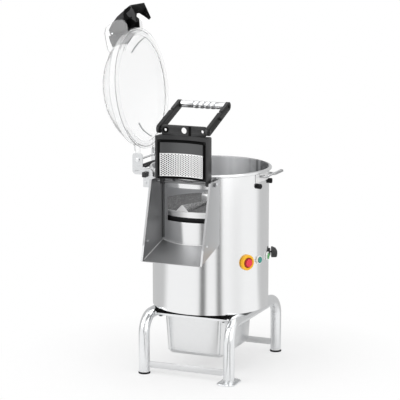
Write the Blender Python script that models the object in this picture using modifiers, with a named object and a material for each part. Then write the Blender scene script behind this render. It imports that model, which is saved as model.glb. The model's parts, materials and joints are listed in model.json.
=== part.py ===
"""Electric potato peeler on a tube stand.

A steel drum holds a turning abrasive disc that a belt drives from a motor below the chamber floor.
A clear lid hinged on the left closes the drum, and a latch on the right holds it.
A door over the chute at the front lets the potatoes out, and a lever locks it.
Peelings fall through a pipe into a pan that slides in runners under the drum.

Metres, +Z up. The drum's axis is the machine's own reference: +X is to the right seen from the
front, -Y is the front. The lid and the door stand open, and their pieces are drawn closed and
turned about their hinges.
"""
import math

import bmesh
import bpy
from mathutils import Matrix, Vector

# Fits and cuts
GAP = 0.0003
RUNNING_GAP = 0.0005
OVERRUN = 0.004

# Facets
DRUM_STEPS = 48
DISC_STEPS = 40
SMALL_STEPS = 14
PIN_STEPS = 10
HOLE_STEPS = 12
BEND_STEPS = 6

# Drum
DRUM_RADIUS = 0.225
DRUM_WALL = 0.002
DRUM_BASE_Z = 0.245
DRUM_TOP_Z = 0.785
BEAD_RADIUS = 0.006
BEAD_REACH = 0.011

# Outlet in the drum wall
OUTLET_HALF_WIDTH = 0.090
OUTLET_HEIGHT = 0.130
OUTLET_DROP = 0.055
OUTLET_TOP_Z = DRUM_TOP_Z - OUTLET_DROP
OUTLET_BASE_Z = OUTLET_TOP_Z - OUTLET_HEIGHT

# Stand
TUBE_RADIUS = 0.0212
STAND_INSET = 0.0495
STAND_HALF_WIDTH = DRUM_RADIUS - STAND_INSET
FRONT_LEG_REACH = 0.012
REAR_LEG_REACH = 0.032
FRONT_LEG_Y = -DRUM_RADIUS - FRONT_LEG_REACH
REAR_LEG_Y = DRUM_RADIUS + REAR_LEG_REACH
STAND_BEND = 0.068
FLAT_THICKNESS = 0.005
UPPER_BAR_DROP = 0.0235
UPPER_BAR_Z = DRUM_BASE_Z - UPPER_BAR_DROP
UPPER_BAR_HEIGHT = 0.012
UPPER_BAR_INSET = 0.052

# Door, drawn closed over the outlet
DOOR_OVERLAP = 0.0156
DOOR_OVERLAP_ABOVE = 0.009
DOOR_OVERLAP_BELOW = 0.024
DOOR_HALF_WIDTH = OUTLET_HALF_WIDTH + DOOR_OVERLAP
DOOR_BASE_Z = OUTLET_BASE_Z - DOOR_OVERLAP_BELOW
DOOR_TOP_Z = OUTLET_TOP_Z + DOOR_OVERLAP_ABOVE
DOOR_OUTER_REACH = 0.0246
DOOR_OUTER_Y = -DRUM_RADIUS - DOOR_OUTER_REACH
FRAME_FACE_REACH = 0.0045
FRAME_FACE_RADIUS = DRUM_RADIUS + FRAME_FACE_REACH
INSERT_FACE_INSET = 0.0015
INSERT_FACE_RADIUS = DRUM_RADIUS - INSERT_FACE_INSET
INSERT_THICKNESS = 0.002
INSERT_SIDE_CLEARANCE = 0.003
INSERT_END_CLEARANCE = 0.002
INSERT_HALF_WIDTH = OUTLET_HALF_WIDTH - INSERT_SIDE_CLEARANCE
INSERT_BASE_Z = OUTLET_BASE_Z + INSERT_END_CLEARANCE
INSERT_TOP_Z = OUTLET_TOP_Z - INSERT_END_CLEARANCE
BLANK_HEIGHT = 0.040
INSERT_SPLIT_Z = INSERT_BASE_Z + BLANK_HEIGHT
SEAL_PROUD = 0.0036
SEAL_WIDTH = 0.006

# Door hinge, lever and lock bar
DOOR_HINGE_REACH = 0.0185
DOOR_HINGE_RISE = 0.016
DOOR_HINGE_Y = -DRUM_RADIUS - DOOR_HINGE_REACH
DOOR_HINGE_Z = DOOR_TOP_Z + DOOR_HINGE_RISE
DOOR_PIN_RADIUS = 0.004
DOOR_OPEN_TURN = math.pi
ARM_THICKNESS = 0.013
ARM_OUTER_INSET = 0.0001
ARM_INNER_X = DOOR_HALF_WIDTH - ARM_OUTER_INSET - ARM_THICKNESS
LOCK_BAR_REACH = 0.0026
LOCK_BAR_INNER_Y = -DRUM_RADIUS - LOCK_BAR_REACH
LOCK_BAR_THICKNESS = 0.010
LOCK_BAR_HEIGHT = 0.038
LOCK_BAR_END_CLEARANCE = 0.004
LOCK_BAR_HALF_WIDTH = ARM_INNER_X - LOCK_BAR_END_CLEARANCE
LOCK_BAR_BASE_Z = DOOR_BASE_Z - LOCK_BAR_HEIGHT
LEVER_PIVOT_REACH = 0.0046
LEVER_PIVOT_RISE = 0.0165
LEVER_PIVOT_Y = -DRUM_RADIUS - LEVER_PIVOT_REACH
LEVER_PIVOT_Z = LOCK_BAR_BASE_Z + LEVER_PIVOT_RISE
LEVER_PIVOT_RADIUS = 0.004

# Discharge chute and its lock pins
SHEET = 0.002
CHUTE_SIDE_CLEARANCE = 0.012
CHUTE_TOP_RISE = 0.013
CHUTE_TOP_REACH = 0.0665
CHUTE_LIP_REACH = 0.149
CHUTE_LIP_DROP = 0.1283
CHUTE_BACK_DEPTH = 0.075
CHUTE_HALF_WIDTH = DOOR_HALF_WIDTH + CHUTE_SIDE_CLEARANCE
CHUTE_TOP_Z = DOOR_HINGE_Z + CHUTE_TOP_RISE
CHUTE_TOP_FRONT_Y = -DRUM_RADIUS - CHUTE_TOP_REACH
CHUTE_LIP_Y = -DRUM_RADIUS - CHUTE_LIP_REACH
CHUTE_LIP_Z = OUTLET_BASE_Z - CHUTE_LIP_DROP
CHUTE_BACK_Y = -DRUM_RADIUS + CHUTE_BACK_DEPTH
CHUTE_FLOOR_RISE_SHARE = 0.274
CHUTE_FLANGE = 0.007
LOCK_PIN_REACH = 0.115
LOCK_PIN_DROP = 0.0105
LOCK_PIN_Y = -DRUM_RADIUS - LOCK_PIN_REACH
LOCK_PIN_Z = LEVER_PIVOT_Z - LOCK_PIN_DROP
LOCK_PIN_RADIUS = 0.004
LOCK_PIN_LENGTH = 0.0091
LOCK_PIN_END_X = CHUTE_HALF_WIDTH - SHEET - LOCK_PIN_LENGTH

# Lid
LID_HINGE_REACH = 0.043
LID_HINGE_RISE = 0.0155
LID_SEAT_GAP = 0.0005
LID_REACH = 0.0105
LID_HINGE_X = -DRUM_RADIUS - LID_HINGE_REACH
LID_BASE_Z = DRUM_TOP_Z + LID_SEAT_GAP
LID_HINGE_Z = LID_BASE_Z + LID_HINGE_RISE
LID_RADIUS = DRUM_RADIUS + LID_REACH
LID_OPEN_TURN = -math.radians(97)

# Latch pivot on the lid, closed
LATCH_PIVOT_INSET = 0.002
LATCH_PIVOT_RISE = 0.0704
LATCH_PIVOT_X = DRUM_RADIUS - LATCH_PIVOT_INSET
LATCH_PIVOT_Z = LID_BASE_Z + LATCH_PIVOT_RISE
LATCH_PIN_RADIUS = 0.0035

# Drive line
SHAFT_RADIUS = 0.0122
MOTOR_WALL_SPACE = 0.100
MOTOR_Y = DRUM_RADIUS - MOTOR_WALL_SPACE
HOUSING_RADIUS = 0.040
PULLEY_RISE = 0.045
PULLEY_BASE_Z = DRUM_BASE_Z + PULLEY_RISE
PULLEY_HEIGHT = 0.020
PULLEY_FLANGE_HEIGHT = 0.0035
BELT_THICKNESS = 0.003
PULLEY_SPACE = 0.055
LARGE_BELT_RADIUS = MOTOR_Y - PULLEY_SPACE
SMALL_BELT_RADIUS = 0.028
DISC_RISE = 0.038
DISC_TOP_Z = OUTLET_BASE_Z + DISC_RISE
FLOOR_DROP = 0.078
FLOOR_Z = DISC_TOP_Z - FLOOR_DROP
FLOOR_THICKNESS = 0.003
DRIVE_PLATE_RISE = 0.060
DRIVE_PLATE_Z = PULLEY_BASE_Z + DRIVE_PLATE_RISE
DRIVE_PLATE_THICKNESS = 0.004
PIPE_WALL_SPACE = 0.100
PIPE_Y = -DRUM_RADIUS + PIPE_WALL_SPACE
PIPE_RADIUS = 0.027

# Peeling disc
DISC_CLEARANCE = 0.011
DISC_RADIUS = DRUM_RADIUS - DRUM_WALL - DISC_CLEARANCE
DISC_BAND = 0.022

# Controls row
CONTROLS_Z = 0.442

# Waste pan
PAN_SIDE_SPACE = 0.043
PAN_HALF_WIDTH = STAND_HALF_WIDTH - PAN_SIDE_SPACE
PAN_HALF_LENGTH = 0.1625
PAN_CENTRE_Y = -0.016
PAN_RIM_DROP = 0.002
PAN_RIM_Z = UPPER_BAR_Z - PAN_RIM_DROP
PAN_DEPTH = 0.150
PAN_WALL = 0.0015

# Finishes: colour, roughness, metallic
BRIGHT_STEEL = ((0.80, 0.81, 0.82), 0.22, 1.0)
SATIN_STEEL = ((0.62, 0.63, 0.65), 0.38, 1.0)
GREY_STEEL = ((0.35, 0.36, 0.38), 0.45, 1.0)
CHROME = ((0.88, 0.89, 0.90), 0.08, 1.0)
BLACK_PLASTIC = ((0.02, 0.02, 0.022), 0.42, 0.0)
BLACK_RUBBER = ((0.015, 0.015, 0.016), 0.75, 0.0)
ABRASIVE = ((0.30, 0.29, 0.28), 0.90, 0.0)
CLEAR_PLASTIC = ((0.85, 0.88, 0.90), 0.05, 0.0)
YELLOW_PLASTIC = ((1.0, 0.45, 0.01), 0.40, 0.0)
RED_PLASTIC = ((0.80, 0.02, 0.05), 0.35, 0.0)
TEAL_PLASTIC = ((0.05, 0.30, 0.26), 0.35, 0.0)
GREEN_PLASTIC = ((0.10, 0.40, 0.12), 0.35, 0.0)
WHITE_PLASTIC = ((0.85, 0.85, 0.85), 0.40, 0.0)
GREY_PAINT = ((0.18, 0.20, 0.23), 0.50, 0.0)


def clear_scene():
    """Remove everything that the file opened with."""
    for item in list(bpy.data.objects):
        bpy.data.objects.remove(item, do_unlink=True)
    for group in list(bpy.data.collections):
        bpy.data.collections.remove(group)


def new_collection(name):
    """Make a collection in the scene."""
    group = bpy.data.collections.new(name)
    bpy.context.scene.collection.children.link(group)
    return group


clear_scene()
PARTS = new_collection("potato_peeler")
CUTTERS = new_collection("cutters")


def paint(item, finish):
    """Give an object its own plain material."""
    colour, roughness, metallic = finish
    skin = bpy.data.materials.new(item.name + "_finish")
    skin.use_nodes = True
    shader = skin.node_tree.nodes["Principled BSDF"]
    shader.inputs["Base Color"].default_value = (*colour, 1.0)
    shader.inputs["Roughness"].default_value = roughness
    shader.inputs["Metallic"].default_value = metallic
    skin.diffuse_color = (*colour, 1.0)
    item.data.materials.append(skin)


def add_part(name, data, finish, parent):
    """Link an object as a part and hang it on its parent without moving it."""
    item = bpy.data.objects.new(name, data)
    PARTS.objects.link(item)
    paint(item, finish)
    attach(item, parent)
    return item


def attach(item, parent):
    """Parent an object, keeping it where it was drawn."""
    item.parent = parent
    item.matrix_parent_inverse = DRAWN_AT[parent.name].inverted()


def add_cutter(name, data):
    """Link an object as a tool for a Boolean."""
    item = bpy.data.objects.new(name, data)
    CUTTERS.objects.link(item)
    item.hide_render = True
    item.display_type = "WIRE"
    return item


DRAWN_AT = {}


def add_pivot(name, location, parent=None):
    """Make an empty on a joint's axis. Its pieces are drawn in machine coordinates."""
    pivot = bpy.data.objects.new(name, None)
    PARTS.objects.link(pivot)
    pivot.location = location
    DRAWN_AT[name] = Matrix.Translation(Vector(location))
    if parent is not None:
        pivot.parent = parent
        pivot.matrix_parent_inverse = DRAWN_AT[parent.name].inverted()
    return pivot


def box_mesh(name, x_span, y_span, z_span):
    """Return a box between three pairs of coordinates."""
    shape = bmesh.new()
    bmesh.ops.create_cube(shape, size=1.0)
    size = Vector((x_span[1] - x_span[0], y_span[1] - y_span[0], z_span[1] - z_span[0]))
    centre = Vector((sum(x_span), sum(y_span), sum(z_span))) / 2
    bmesh.ops.scale(shape, vec=size, verts=shape.verts)
    bmesh.ops.translate(shape, vec=centre, verts=shape.verts)
    return to_mesh(name, shape)


def rod_mesh(name, radius, start, end, steps=PIN_STEPS):
    """Return a cylinder from one point to another."""
    start, end = Vector(start), Vector(end)
    shape = bmesh.new()
    bmesh.ops.create_cone(shape, cap_ends=True, segments=steps, radius1=radius, radius2=radius,
                          depth=(end - start).length)
    turn = (end - start).to_track_quat("Z", "Y").to_matrix().to_4x4()
    bmesh.ops.transform(shape, matrix=Matrix.Translation((start + end) / 2) @ turn, verts=shape.verts)
    return to_mesh(name, shape)


def to_mesh(name, shape):
    """Turn a bmesh into a mesh and free it."""
    data = bpy.data.meshes.new(name)
    shape.to_mesh(data)
    shape.free()
    return data


def profile_mesh(name, points, closed=True):
    """Return the edges of a profile in the XZ plane, for a Screw modifier."""
    shape = bmesh.new()
    corners = [shape.verts.new((radius, 0, height)) for radius, height in points]
    for first, second in zip(corners, corners[1:]):
        shape.edges.new((first, second))
    if closed:
        shape.edges.new((corners[-1], corners[0]))
    return to_mesh(name, shape)


def spin(item, steps, merge=False):
    """Turn a profile round the object's own Z."""
    screw = item.modifiers.new("turn", "SCREW")
    screw.steps = steps
    screw.render_steps = steps
    screw.use_merge_vertices = merge
    screw.merge_threshold = 0.00001
    screw.use_smooth_shade = True
    return item


def outline_mesh(name, points, thickness, place):
    """Return a flat plate: an outline in its own XY, centred on its thickness, moved by place."""
    curve = bpy.data.curves.new(name, "CURVE")
    curve.dimensions = "2D"
    curve.fill_mode = "BOTH"
    curve.extrude = thickness / 2
    loops = points if isinstance(points[0][0], (tuple, list, Vector)) else [points]
    for loop in loops:
        spline = curve.splines.new("POLY")
        spline.points.add(len(loop) - 1)
        for corner, (along, across) in zip(spline.points, loop):
            corner.co = (along, across, 0, 1)
        spline.use_cyclic_u = True
    return solid_of_curve(name, curve, place)


def solid_of_curve(name, curve, place):
    """Convert a curve into a welded mesh in machine coordinates."""
    guide = bpy.data.objects.new(name + "_curve", curve)
    bpy.context.scene.collection.objects.link(guide)
    bpy.context.view_layer.update()
    evaluated = guide.evaluated_get(bpy.context.evaluated_depsgraph_get())
    data = bpy.data.meshes.new_from_object(evaluated)
    bpy.data.objects.remove(guide, do_unlink=True)
    shape = bmesh.new()
    shape.from_mesh(data)
    bmesh.ops.remove_doubles(shape, verts=shape.verts, dist=0.00001)
    bmesh.ops.recalc_face_normals(shape, faces=shape.faces)
    bmesh.ops.transform(shape, matrix=place, verts=shape.verts)
    bpy.data.meshes.remove(data)
    return to_mesh(name, shape)


def tube_mesh(name, points, radius, resolution):
    """Return a round bar along a line of points, with capped ends."""
    curve = bpy.data.curves.new(name, "CURVE")
    curve.dimensions = "3D"
    curve.bevel_depth = radius
    curve.bevel_resolution = resolution
    curve.use_fill_caps = True
    spline = curve.splines.new("POLY")
    spline.points.add(len(points) - 1)
    for corner, point in zip(spline.points, points):
        corner.co = (*point, 1)
    return solid_of_curve(name, curve, Matrix.Identity(4))


def side_view(x):
    """Placement of an outline drawn as (Y, Z), with its thickness centred on x."""
    return Matrix.Translation((x, 0, 0)) @ Matrix(((0, 0, 1, 0), (1, 0, 0, 0), (0, 1, 0, 0), (0, 0, 0, 1)))


def front_view(y):
    """Placement of an outline drawn as (X, Z), with its thickness centred on y."""
    return Matrix.Translation((0, y, 0)) @ Matrix(((1, 0, 0, 0), (0, 0, -1, 0), (0, 1, 0, 0), (0, 0, 0, 1)))


def plan_view(z):
    """Placement of an outline drawn as (X, Y), with its thickness centred on z."""
    return Matrix.Translation((0, 0, z))


def arc(centre, radius, start, end, steps):
    """Points of an arc, with angles in degrees."""
    angles = [math.radians(start + (end - start) * step / steps) for step in range(steps + 1)]
    return [(centre[0] + radius * math.cos(a), centre[1] + radius * math.sin(a)) for a in angles]


def circle(centre, radius, steps=HOLE_STEPS):
    """Evenly spaced points of a circle, for a hole in an outline."""
    return arc(centre, radius, 0, 360 / steps - 360, steps - 1)


def rounded_rectangle(half_x, half_y, radius, steps, centre=(0, 0)):
    """Outline of a rectangle with round corners."""
    across, along = half_x - radius, half_y - radius
    corners = ((across, along, 0), (-across, along, 90), (-across, -along, 180), (across, -along, 270))
    points = []
    for x, y, start in corners:
        points += arc((centre[0] + x, centre[1] + y), radius, start, start + 90, steps)
    return points


def boolean(item, tool, operation="DIFFERENCE"):
    """Cut, join or intersect an object with a tool."""
    step = item.modifiers.new(operation.lower(), "BOOLEAN")
    step.operation = operation
    step.object = tool
    step.solver = "EXACT"
    return item


def bevel(item, width, segments=2, angle=40):
    """Round the edges that are sharper than an angle in degrees."""
    step = item.modifiers.new("round", "BEVEL")
    step.width = width
    step.segments = segments
    step.limit_method = "ANGLE"
    step.angle_limit = math.radians(angle)
    return item


def smooth(item, angle=35):
    """Shade an object smooth, with sharp edges kept."""
    item.data.shade_smooth()
    item.data.set_sharp_from_angle(angle=math.radians(angle))
    return item


def turned_part(name, points, finish, parent, steps=SMALL_STEPS, place=None, merge=False):
    """Make a turned part from its profile, placed by a matrix."""
    item = add_part(name, profile_mesh(name, points, not merge), finish, parent)
    item.matrix_basis = place if place is not None else Matrix.Identity(4)
    return spin(item, steps, merge)


def ring_points(inner, outer, base, top):
    """Profile of a plain ring."""
    return [(inner, base), (inner, top), (outer, top), (outer, base)]


def disc_points(radius, base, top):
    """Profile of a plain disc, from the axis round and back to the axis."""
    return [(0, top), (radius, top), (radius, base), (0, base)]


def build_stand(root):
    """Two bent-tube side frames, flat crossbars, three foot caps and an anchor plate."""
    cap_height = 0.007
    cap_radius = 0.023
    cap_edge = 0.0015
    plate_height = 0.005
    plate_half_width = 0.035
    plate_half_length = 0.0525
    plate_corner = 0.015
    plate_hole_radius = 0.006
    plate_hole_inset = 0.014
    rail_z = DRUM_BASE_Z - GAP - TUBE_RADIUS
    bend_z = rail_z - STAND_BEND
    for side, sign in (("left", -1), ("right", 1)):
        front_foot = plate_height if side == "right" else cap_height
        turns = arc((FRONT_LEG_Y + STAND_BEND, bend_z), STAND_BEND, 180, 90, BEND_STEPS)
        turns += arc((REAR_LEG_Y - STAND_BEND, bend_z), STAND_BEND, 90, 0, BEND_STEPS)
        route = [(FRONT_LEG_Y, front_foot + GAP)] + turns + [(REAR_LEG_Y, cap_height + GAP)]
        points = [(sign * STAND_HALF_WIDTH, y, z) for y, z in route]
        name = "side_frame_" + side
        smooth(add_part(name, tube_mesh(name, points, TUBE_RADIUS, 4), BRIGHT_STEEL, root))
    feet = (("foot_cap_front_left", -STAND_HALF_WIDTH, FRONT_LEG_Y),
            ("foot_cap_rear_left", -STAND_HALF_WIDTH, REAR_LEG_Y),
            ("foot_cap_rear_right", STAND_HALF_WIDTH, REAR_LEG_Y))
    cap = [(0, cap_height), (cap_radius - cap_edge, cap_height), (cap_radius, cap_height - cap_edge),
           (cap_radius, 0), (0, 0)]
    for name, x, y in feet:
        turned_part(name, cap, BLACK_RUBBER, root, 16, Matrix.Translation((x, y, 0)), merge=True)
    x, y = STAND_HALF_WIDTH, FRONT_LEG_Y
    left, right = x - plate_half_width, x + plate_half_width
    front, back = y - plate_half_length, y + plate_half_length
    outline = [(left, front + plate_corner), (left + plate_corner, front), (right - plate_corner, front),
               (right, front + plate_corner), (right, back - plate_corner), (right - plate_corner, back),
               (left + plate_corner, back), (left, back - plate_corner)]
    holes = [circle((x, hole_y), plate_hole_radius)
             for hole_y in (front + plate_hole_inset, back - plate_hole_inset)]
    data = outline_mesh("anchor_foot_plate", [outline] + holes, plate_height, plan_view(plate_height / 2))
    add_part("anchor_foot_plate", data, BRIGHT_STEEL, root)
    build_crossbars(root)


def upper_bar_positions():
    """Y of the upper front and rear crossbars."""
    return FRONT_LEG_Y + UPPER_BAR_INSET, REAR_LEG_Y - UPPER_BAR_INSET


def build_crossbars(root):
    """Flat bars between the side frames."""
    lower_z = 0.0245
    lower_height = 0.025
    half_span = STAND_HALF_WIDTH - TUBE_RADIUS - GAP
    half_flat = FLAT_THICKNESS / 2
    upper_front, upper_rear = upper_bar_positions()
    bars = (("lower_crossbar_front", FRONT_LEG_Y, lower_z, lower_height),
            ("lower_crossbar_rear", REAR_LEG_Y, lower_z, lower_height),
            ("upper_crossbar_front", upper_front, UPPER_BAR_Z, UPPER_BAR_HEIGHT),
            ("upper_crossbar_rear", upper_rear, UPPER_BAR_Z, UPPER_BAR_HEIGHT))
    for name, y, base, height in bars:
        spans = (-half_span, half_span), (y - half_flat, y + half_flat), (base, base + height)
        add_part(name, box_mesh(name, *spans), GREY_STEEL, root)


def build_pan_and_runners(root):
    """The drawn pan, and the folded runners that hang under the upper crossbars."""
    rim_radius = 0.030
    mouth_inset = 0.010
    bottom_inset = 0.018
    bottom_radius = 0.022
    fold = 0.0015
    lip_reach = 0.0095
    web_clearance = 0.002
    rim_x, rim_y = PAN_HALF_WIDTH, PAN_HALF_LENGTH
    centre = (0, PAN_CENTRE_Y)
    levels = ((rim_x, rim_y, rim_radius, PAN_RIM_Z),
              (rim_x - mouth_inset, rim_y - mouth_inset, rim_radius - mouth_inset, PAN_RIM_Z),
              (rim_x - mouth_inset - fold, rim_y - mouth_inset - fold, rim_radius - mouth_inset,
               PAN_RIM_Z - fold),
              (rim_x - bottom_inset, rim_y - bottom_inset, bottom_radius,
               PAN_RIM_Z - PAN_DEPTH + bottom_radius / 2),
              (rim_x - bottom_inset - bottom_radius / 2, rim_y - bottom_inset - bottom_radius / 2,
               bottom_radius / 2, PAN_RIM_Z - PAN_DEPTH))
    data = loft_mesh("waste_pan", [[(x, y, z) for x, y in rounded_rectangle(a, b, r, 3, centre)]
                                   for a, b, r, z in levels], cap_last=True)
    slide = add_pivot("pan_slide", (0, PAN_CENTRE_Y, PAN_RIM_Z), root)
    pan = add_part("waste_pan", data, SATIN_STEEL, slide)
    wall = pan.modifiers.new("wall", "SOLIDIFY")
    wall.thickness = PAN_WALL
    wall.offset = -1
    wall.use_even_offset = True
    smooth(pan, 50)
    lip_top = PAN_RIM_Z - PAN_WALL - GAP
    web_x = PAN_HALF_WIDTH + web_clearance
    flange_top = UPPER_BAR_Z - GAP
    flange_reach = 0.014
    section = [(web_x - lip_reach, lip_top - fold), (web_x + fold, lip_top - fold),
               (web_x + fold, flange_top - fold), (web_x + fold + flange_reach, flange_top - fold),
               (web_x + fold + flange_reach, flange_top), (web_x, flange_top), (web_x, lip_top),
               (web_x - lip_reach, lip_top)]
    front, rear = upper_bar_positions()
    length = rear - front + FLAT_THICKNESS
    for side, sign in (("left", -1), ("right", 1)):
        name = "pan_runner_" + side
        outline = [(sign * x, z) for x, z in section]
        data = outline_mesh(name, outline, length, front_view((front + rear) / 2))
        add_part(name, data, SATIN_STEEL, root)
    return slide


def loft_mesh(name, rings, cap_first=False, cap_last=False, cyclic=True):
    """Skin between rings that have the same number of points."""
    shape = bmesh.new()
    loops = [[shape.verts.new(point) for point in ring] for ring in rings]
    count = len(loops[0])
    last = count if cyclic else count - 1
    for lower, upper in zip(loops, loops[1:]):
        for index in range(last):
            following = (index + 1) % count
            shape.faces.new((lower[index], lower[following], upper[following], upper[index]))
    if cap_first:
        shape.faces.new(reversed(loops[0]))
    if cap_last:
        shape.faces.new(loops[-1])
    bmesh.ops.recalc_face_normals(shape, faces=shape.faces)
    return to_mesh(name, shape)


def radial(angle, z):
    """Placement that turns a part's own Z to point out of the drum at an angle in degrees."""
    turn = Matrix.Rotation(math.radians(angle), 4, "Z") @ Matrix.Rotation(math.radians(90), 4, "Y")
    return Matrix.Translation((0, 0, z)) @ turn


def drum_points():
    """Profile of the drum wall, with its rim rolled outward into a bead."""
    inner, outer = DRUM_RADIUS - DRUM_WALL, DRUM_RADIUS
    bead_x = DRUM_RADIUS + BEAD_REACH - BEAD_RADIUS
    bead_z = DRUM_TOP_Z - BEAD_RADIUS
    bead = arc((bead_x, bead_z), BEAD_RADIUS, 90, -90, 4)
    return [(inner, DRUM_BASE_Z), (inner, bead_z), (inner + BEAD_RADIUS / 2, DRUM_TOP_Z)] + bead + [
        (outer, DRUM_TOP_Z - 2 * BEAD_RADIUS), (outer, DRUM_BASE_Z)]


# Stems through the drum wall: angle in degrees, height, hole radius
ESTOP_ANGLE = -30
START_ANGLE = -13
SECOND_ANGLE = 5.9
TIMER_ANGLE = 25
STEM_RADIUS = 0.006
STEM_HOLE = STEM_RADIUS + RUNNING_GAP


def build_drum(root):
    """Drum wall with the outlet and the holes for the control stems."""
    drum = turned_part("drum_shell", drum_points(), BRIGHT_STEEL, root, DRUM_STEPS)
    spans = ((-OUTLET_HALF_WIDTH, OUTLET_HALF_WIDTH), (-DRUM_RADIUS - OVERRUN, -DRUM_RADIUS / 2),
             (OUTLET_BASE_Z, OUTLET_TOP_Z))
    outlet = add_cutter("outlet_cut", box_mesh("outlet_cut", *spans))
    outlet.parent = root
    boolean(drum, outlet)
    for number, angle in enumerate((ESTOP_ANGLE, START_ANGLE, SECOND_ANGLE, TIMER_ANGLE)):
        name = "stem_hole_" + str(number)
        data = rod_mesh(name, STEM_HOLE, (0, 0, DRUM_RADIUS - DRUM_WALL - OVERRUN),
                        (0, 0, DRUM_RADIUS + OVERRUN))
        hole = add_cutter(name, data)
        hole.matrix_basis = radial(angle, CONTROLS_Z)
        hole.parent = root
        boolean(drum, hole)
    plate_radius = DRUM_RADIUS - DRUM_WALL - GAP
    base_thickness = 0.002
    base = turned_part("base_plate", disc_points(plate_radius, DRUM_BASE_Z, DRUM_BASE_Z + base_thickness),
                       SATIN_STEEL, root, DRUM_STEPS, merge=True)
    boolean(base, vertical_cutter("base_pipe_hole", 0, PIPE_Y, PIPE_RADIUS + GAP, DRUM_BASE_Z, root))
    flange = 0.020
    bore = 0.016
    top = FLOOR_Z + FLOOR_THICKNESS
    inner = plate_radius - FLOOR_THICKNESS
    points = [(bore, FLOOR_Z), (bore, top), (inner, top), (inner, FLOOR_Z + flange),
              (plate_radius, FLOOR_Z + flange), (plate_radius, FLOOR_Z)]
    floor = turned_part("chamber_floor", points, SATIN_STEEL, root, DRUM_STEPS)
    boolean(floor, vertical_cutter("floor_outlet", 0, PIPE_Y, PIPE_RADIUS - DRUM_WALL, FLOOR_Z, root))
    plate_top = DRIVE_PLATE_Z + DRIVE_PLATE_THICKNESS
    plate = turned_part("drive_plate", disc_points(plate_radius, DRIVE_PLATE_Z, plate_top), GREY_STEEL,
                        root, DRUM_STEPS, merge=True)
    shaft_hole = SHAFT_RADIUS + OVERRUN
    boolean(plate, vertical_cutter("shaft_hole", 0, 0, shaft_hole, DRIVE_PLATE_Z, root))
    boolean(plate, vertical_cutter("motor_hole", 0, MOTOR_Y, shaft_hole, DRIVE_PLATE_Z, root))
    boolean(plate, vertical_cutter("plate_pipe_hole", 0, PIPE_Y, PIPE_RADIUS + GAP, DRIVE_PLATE_Z, root))
    pipe_drop = 0.009
    pipe_base = DRUM_BASE_Z - pipe_drop
    turned_part("waste_pipe", ring_points(PIPE_RADIUS - DRUM_WALL, PIPE_RADIUS, pipe_base, FLOOR_Z - GAP),
                SATIN_STEEL, root, 18, Matrix.Translation((0, PIPE_Y, 0)))


def vertical_cutter(name, x, y, radius, z, root):
    """A round vertical cutter through a plate whose base is at z."""
    reach = DRIVE_PLATE_THICKNESS + OVERRUN
    hole = add_cutter(name, rod_mesh(name, radius, (x, y, z - OVERRUN), (x, y, z + reach), 24))
    hole.parent = root
    return hole


def build_drive(root):
    """Bearing housing, bearings, motor, belt, and the two turning groups."""
    bearing_outer = 0.026
    bearing_inner = 0.0125
    bearing_height = 0.015
    middle_bore = 0.020
    housing_base = DRIVE_PLATE_Z + DRIVE_PLATE_THICKNESS + GAP
    housing_top = FLOOR_Z - GAP
    seat = bearing_outer + GAP
    lower_step = housing_base + bearing_height + GAP
    upper_step = housing_top - bearing_height - GAP
    points = [(seat, housing_base), (seat, lower_step), (middle_bore, lower_step), (middle_bore, upper_step),
              (seat, upper_step), (seat, housing_top), (HOUSING_RADIUS, housing_top),
              (HOUSING_RADIUS, housing_base)]
    turned_part("bearing_housing", points, GREY_STEEL, root, 18)
    for name, base in (("lower_bearing", housing_base), ("upper_bearing", upper_step + GAP)):
        turned_part(name, ring_points(bearing_inner, bearing_outer, base, base + bearing_height),
                    SATIN_STEEL, root, 18)
    motor_space = 0.023
    motor_radius = MOTOR_Y - HOUSING_RADIUS - motor_space
    motor_drop = 0.035
    motor_top = FLOOR_Z - motor_drop
    motor_shoulder = 0.006
    motor_shaft = 0.007
    shaft_bore = motor_shaft + RUNNING_GAP
    shaft_depth = 0.046
    bore_top = housing_base + shaft_depth - GAP
    points = [(0, motor_top), (motor_radius - motor_shoulder, motor_top),
              (motor_radius, motor_top - motor_shoulder),
              (motor_radius, housing_base), (shaft_bore, housing_base), (shaft_bore, bore_top), (0, bore_top)]
    motor_place = Matrix.Translation((0, MOTOR_Y, 0))
    turned_part("motor", points, GREY_PAINT, root, 20, motor_place, merge=True)
    belt_mesh = build_belt_mesh()
    add_part("drive_belt", belt_mesh, BLACK_RUBBER, root)

    spindle = add_pivot("disc_spindle", (0, 0, DISC_TOP_Z), root)
    pulley_top = PULLEY_BASE_Z + PULLEY_HEIGHT
    shaft_rise = 0.017
    shaft_top = DISC_TOP_Z + shaft_rise
    turned_part("drive_shaft", disc_points(SHAFT_RADIUS, PULLEY_BASE_Z - OVERRUN, shaft_top), BRIGHT_STEEL,
                spindle, PIN_STEPS + PIN_STEPS // 2, merge=True)
    flange_rise = 0.005
    turned_part("large_pulley", pulley_points(SHAFT_RADIUS + GAP, LARGE_BELT_RADIUS, flange_rise, pulley_top),
                GREY_STEEL, spindle, 24)
    rotor = add_pivot("motor_spindle", (0, MOTOR_Y, PULLEY_BASE_Z), root)
    turned_part("motor_shaft", disc_points(motor_shaft, PULLEY_BASE_Z - OVERRUN, bore_top - OVERRUN),
                BRIGHT_STEEL,
                rotor, PIN_STEPS, motor_place, merge=True)
    turned_part("motor_pulley", pulley_points(motor_shaft + GAP, SMALL_BELT_RADIUS, flange_rise, pulley_top),
                GREY_STEEL, rotor, 16, motor_place)
    return spindle, rotor


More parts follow.
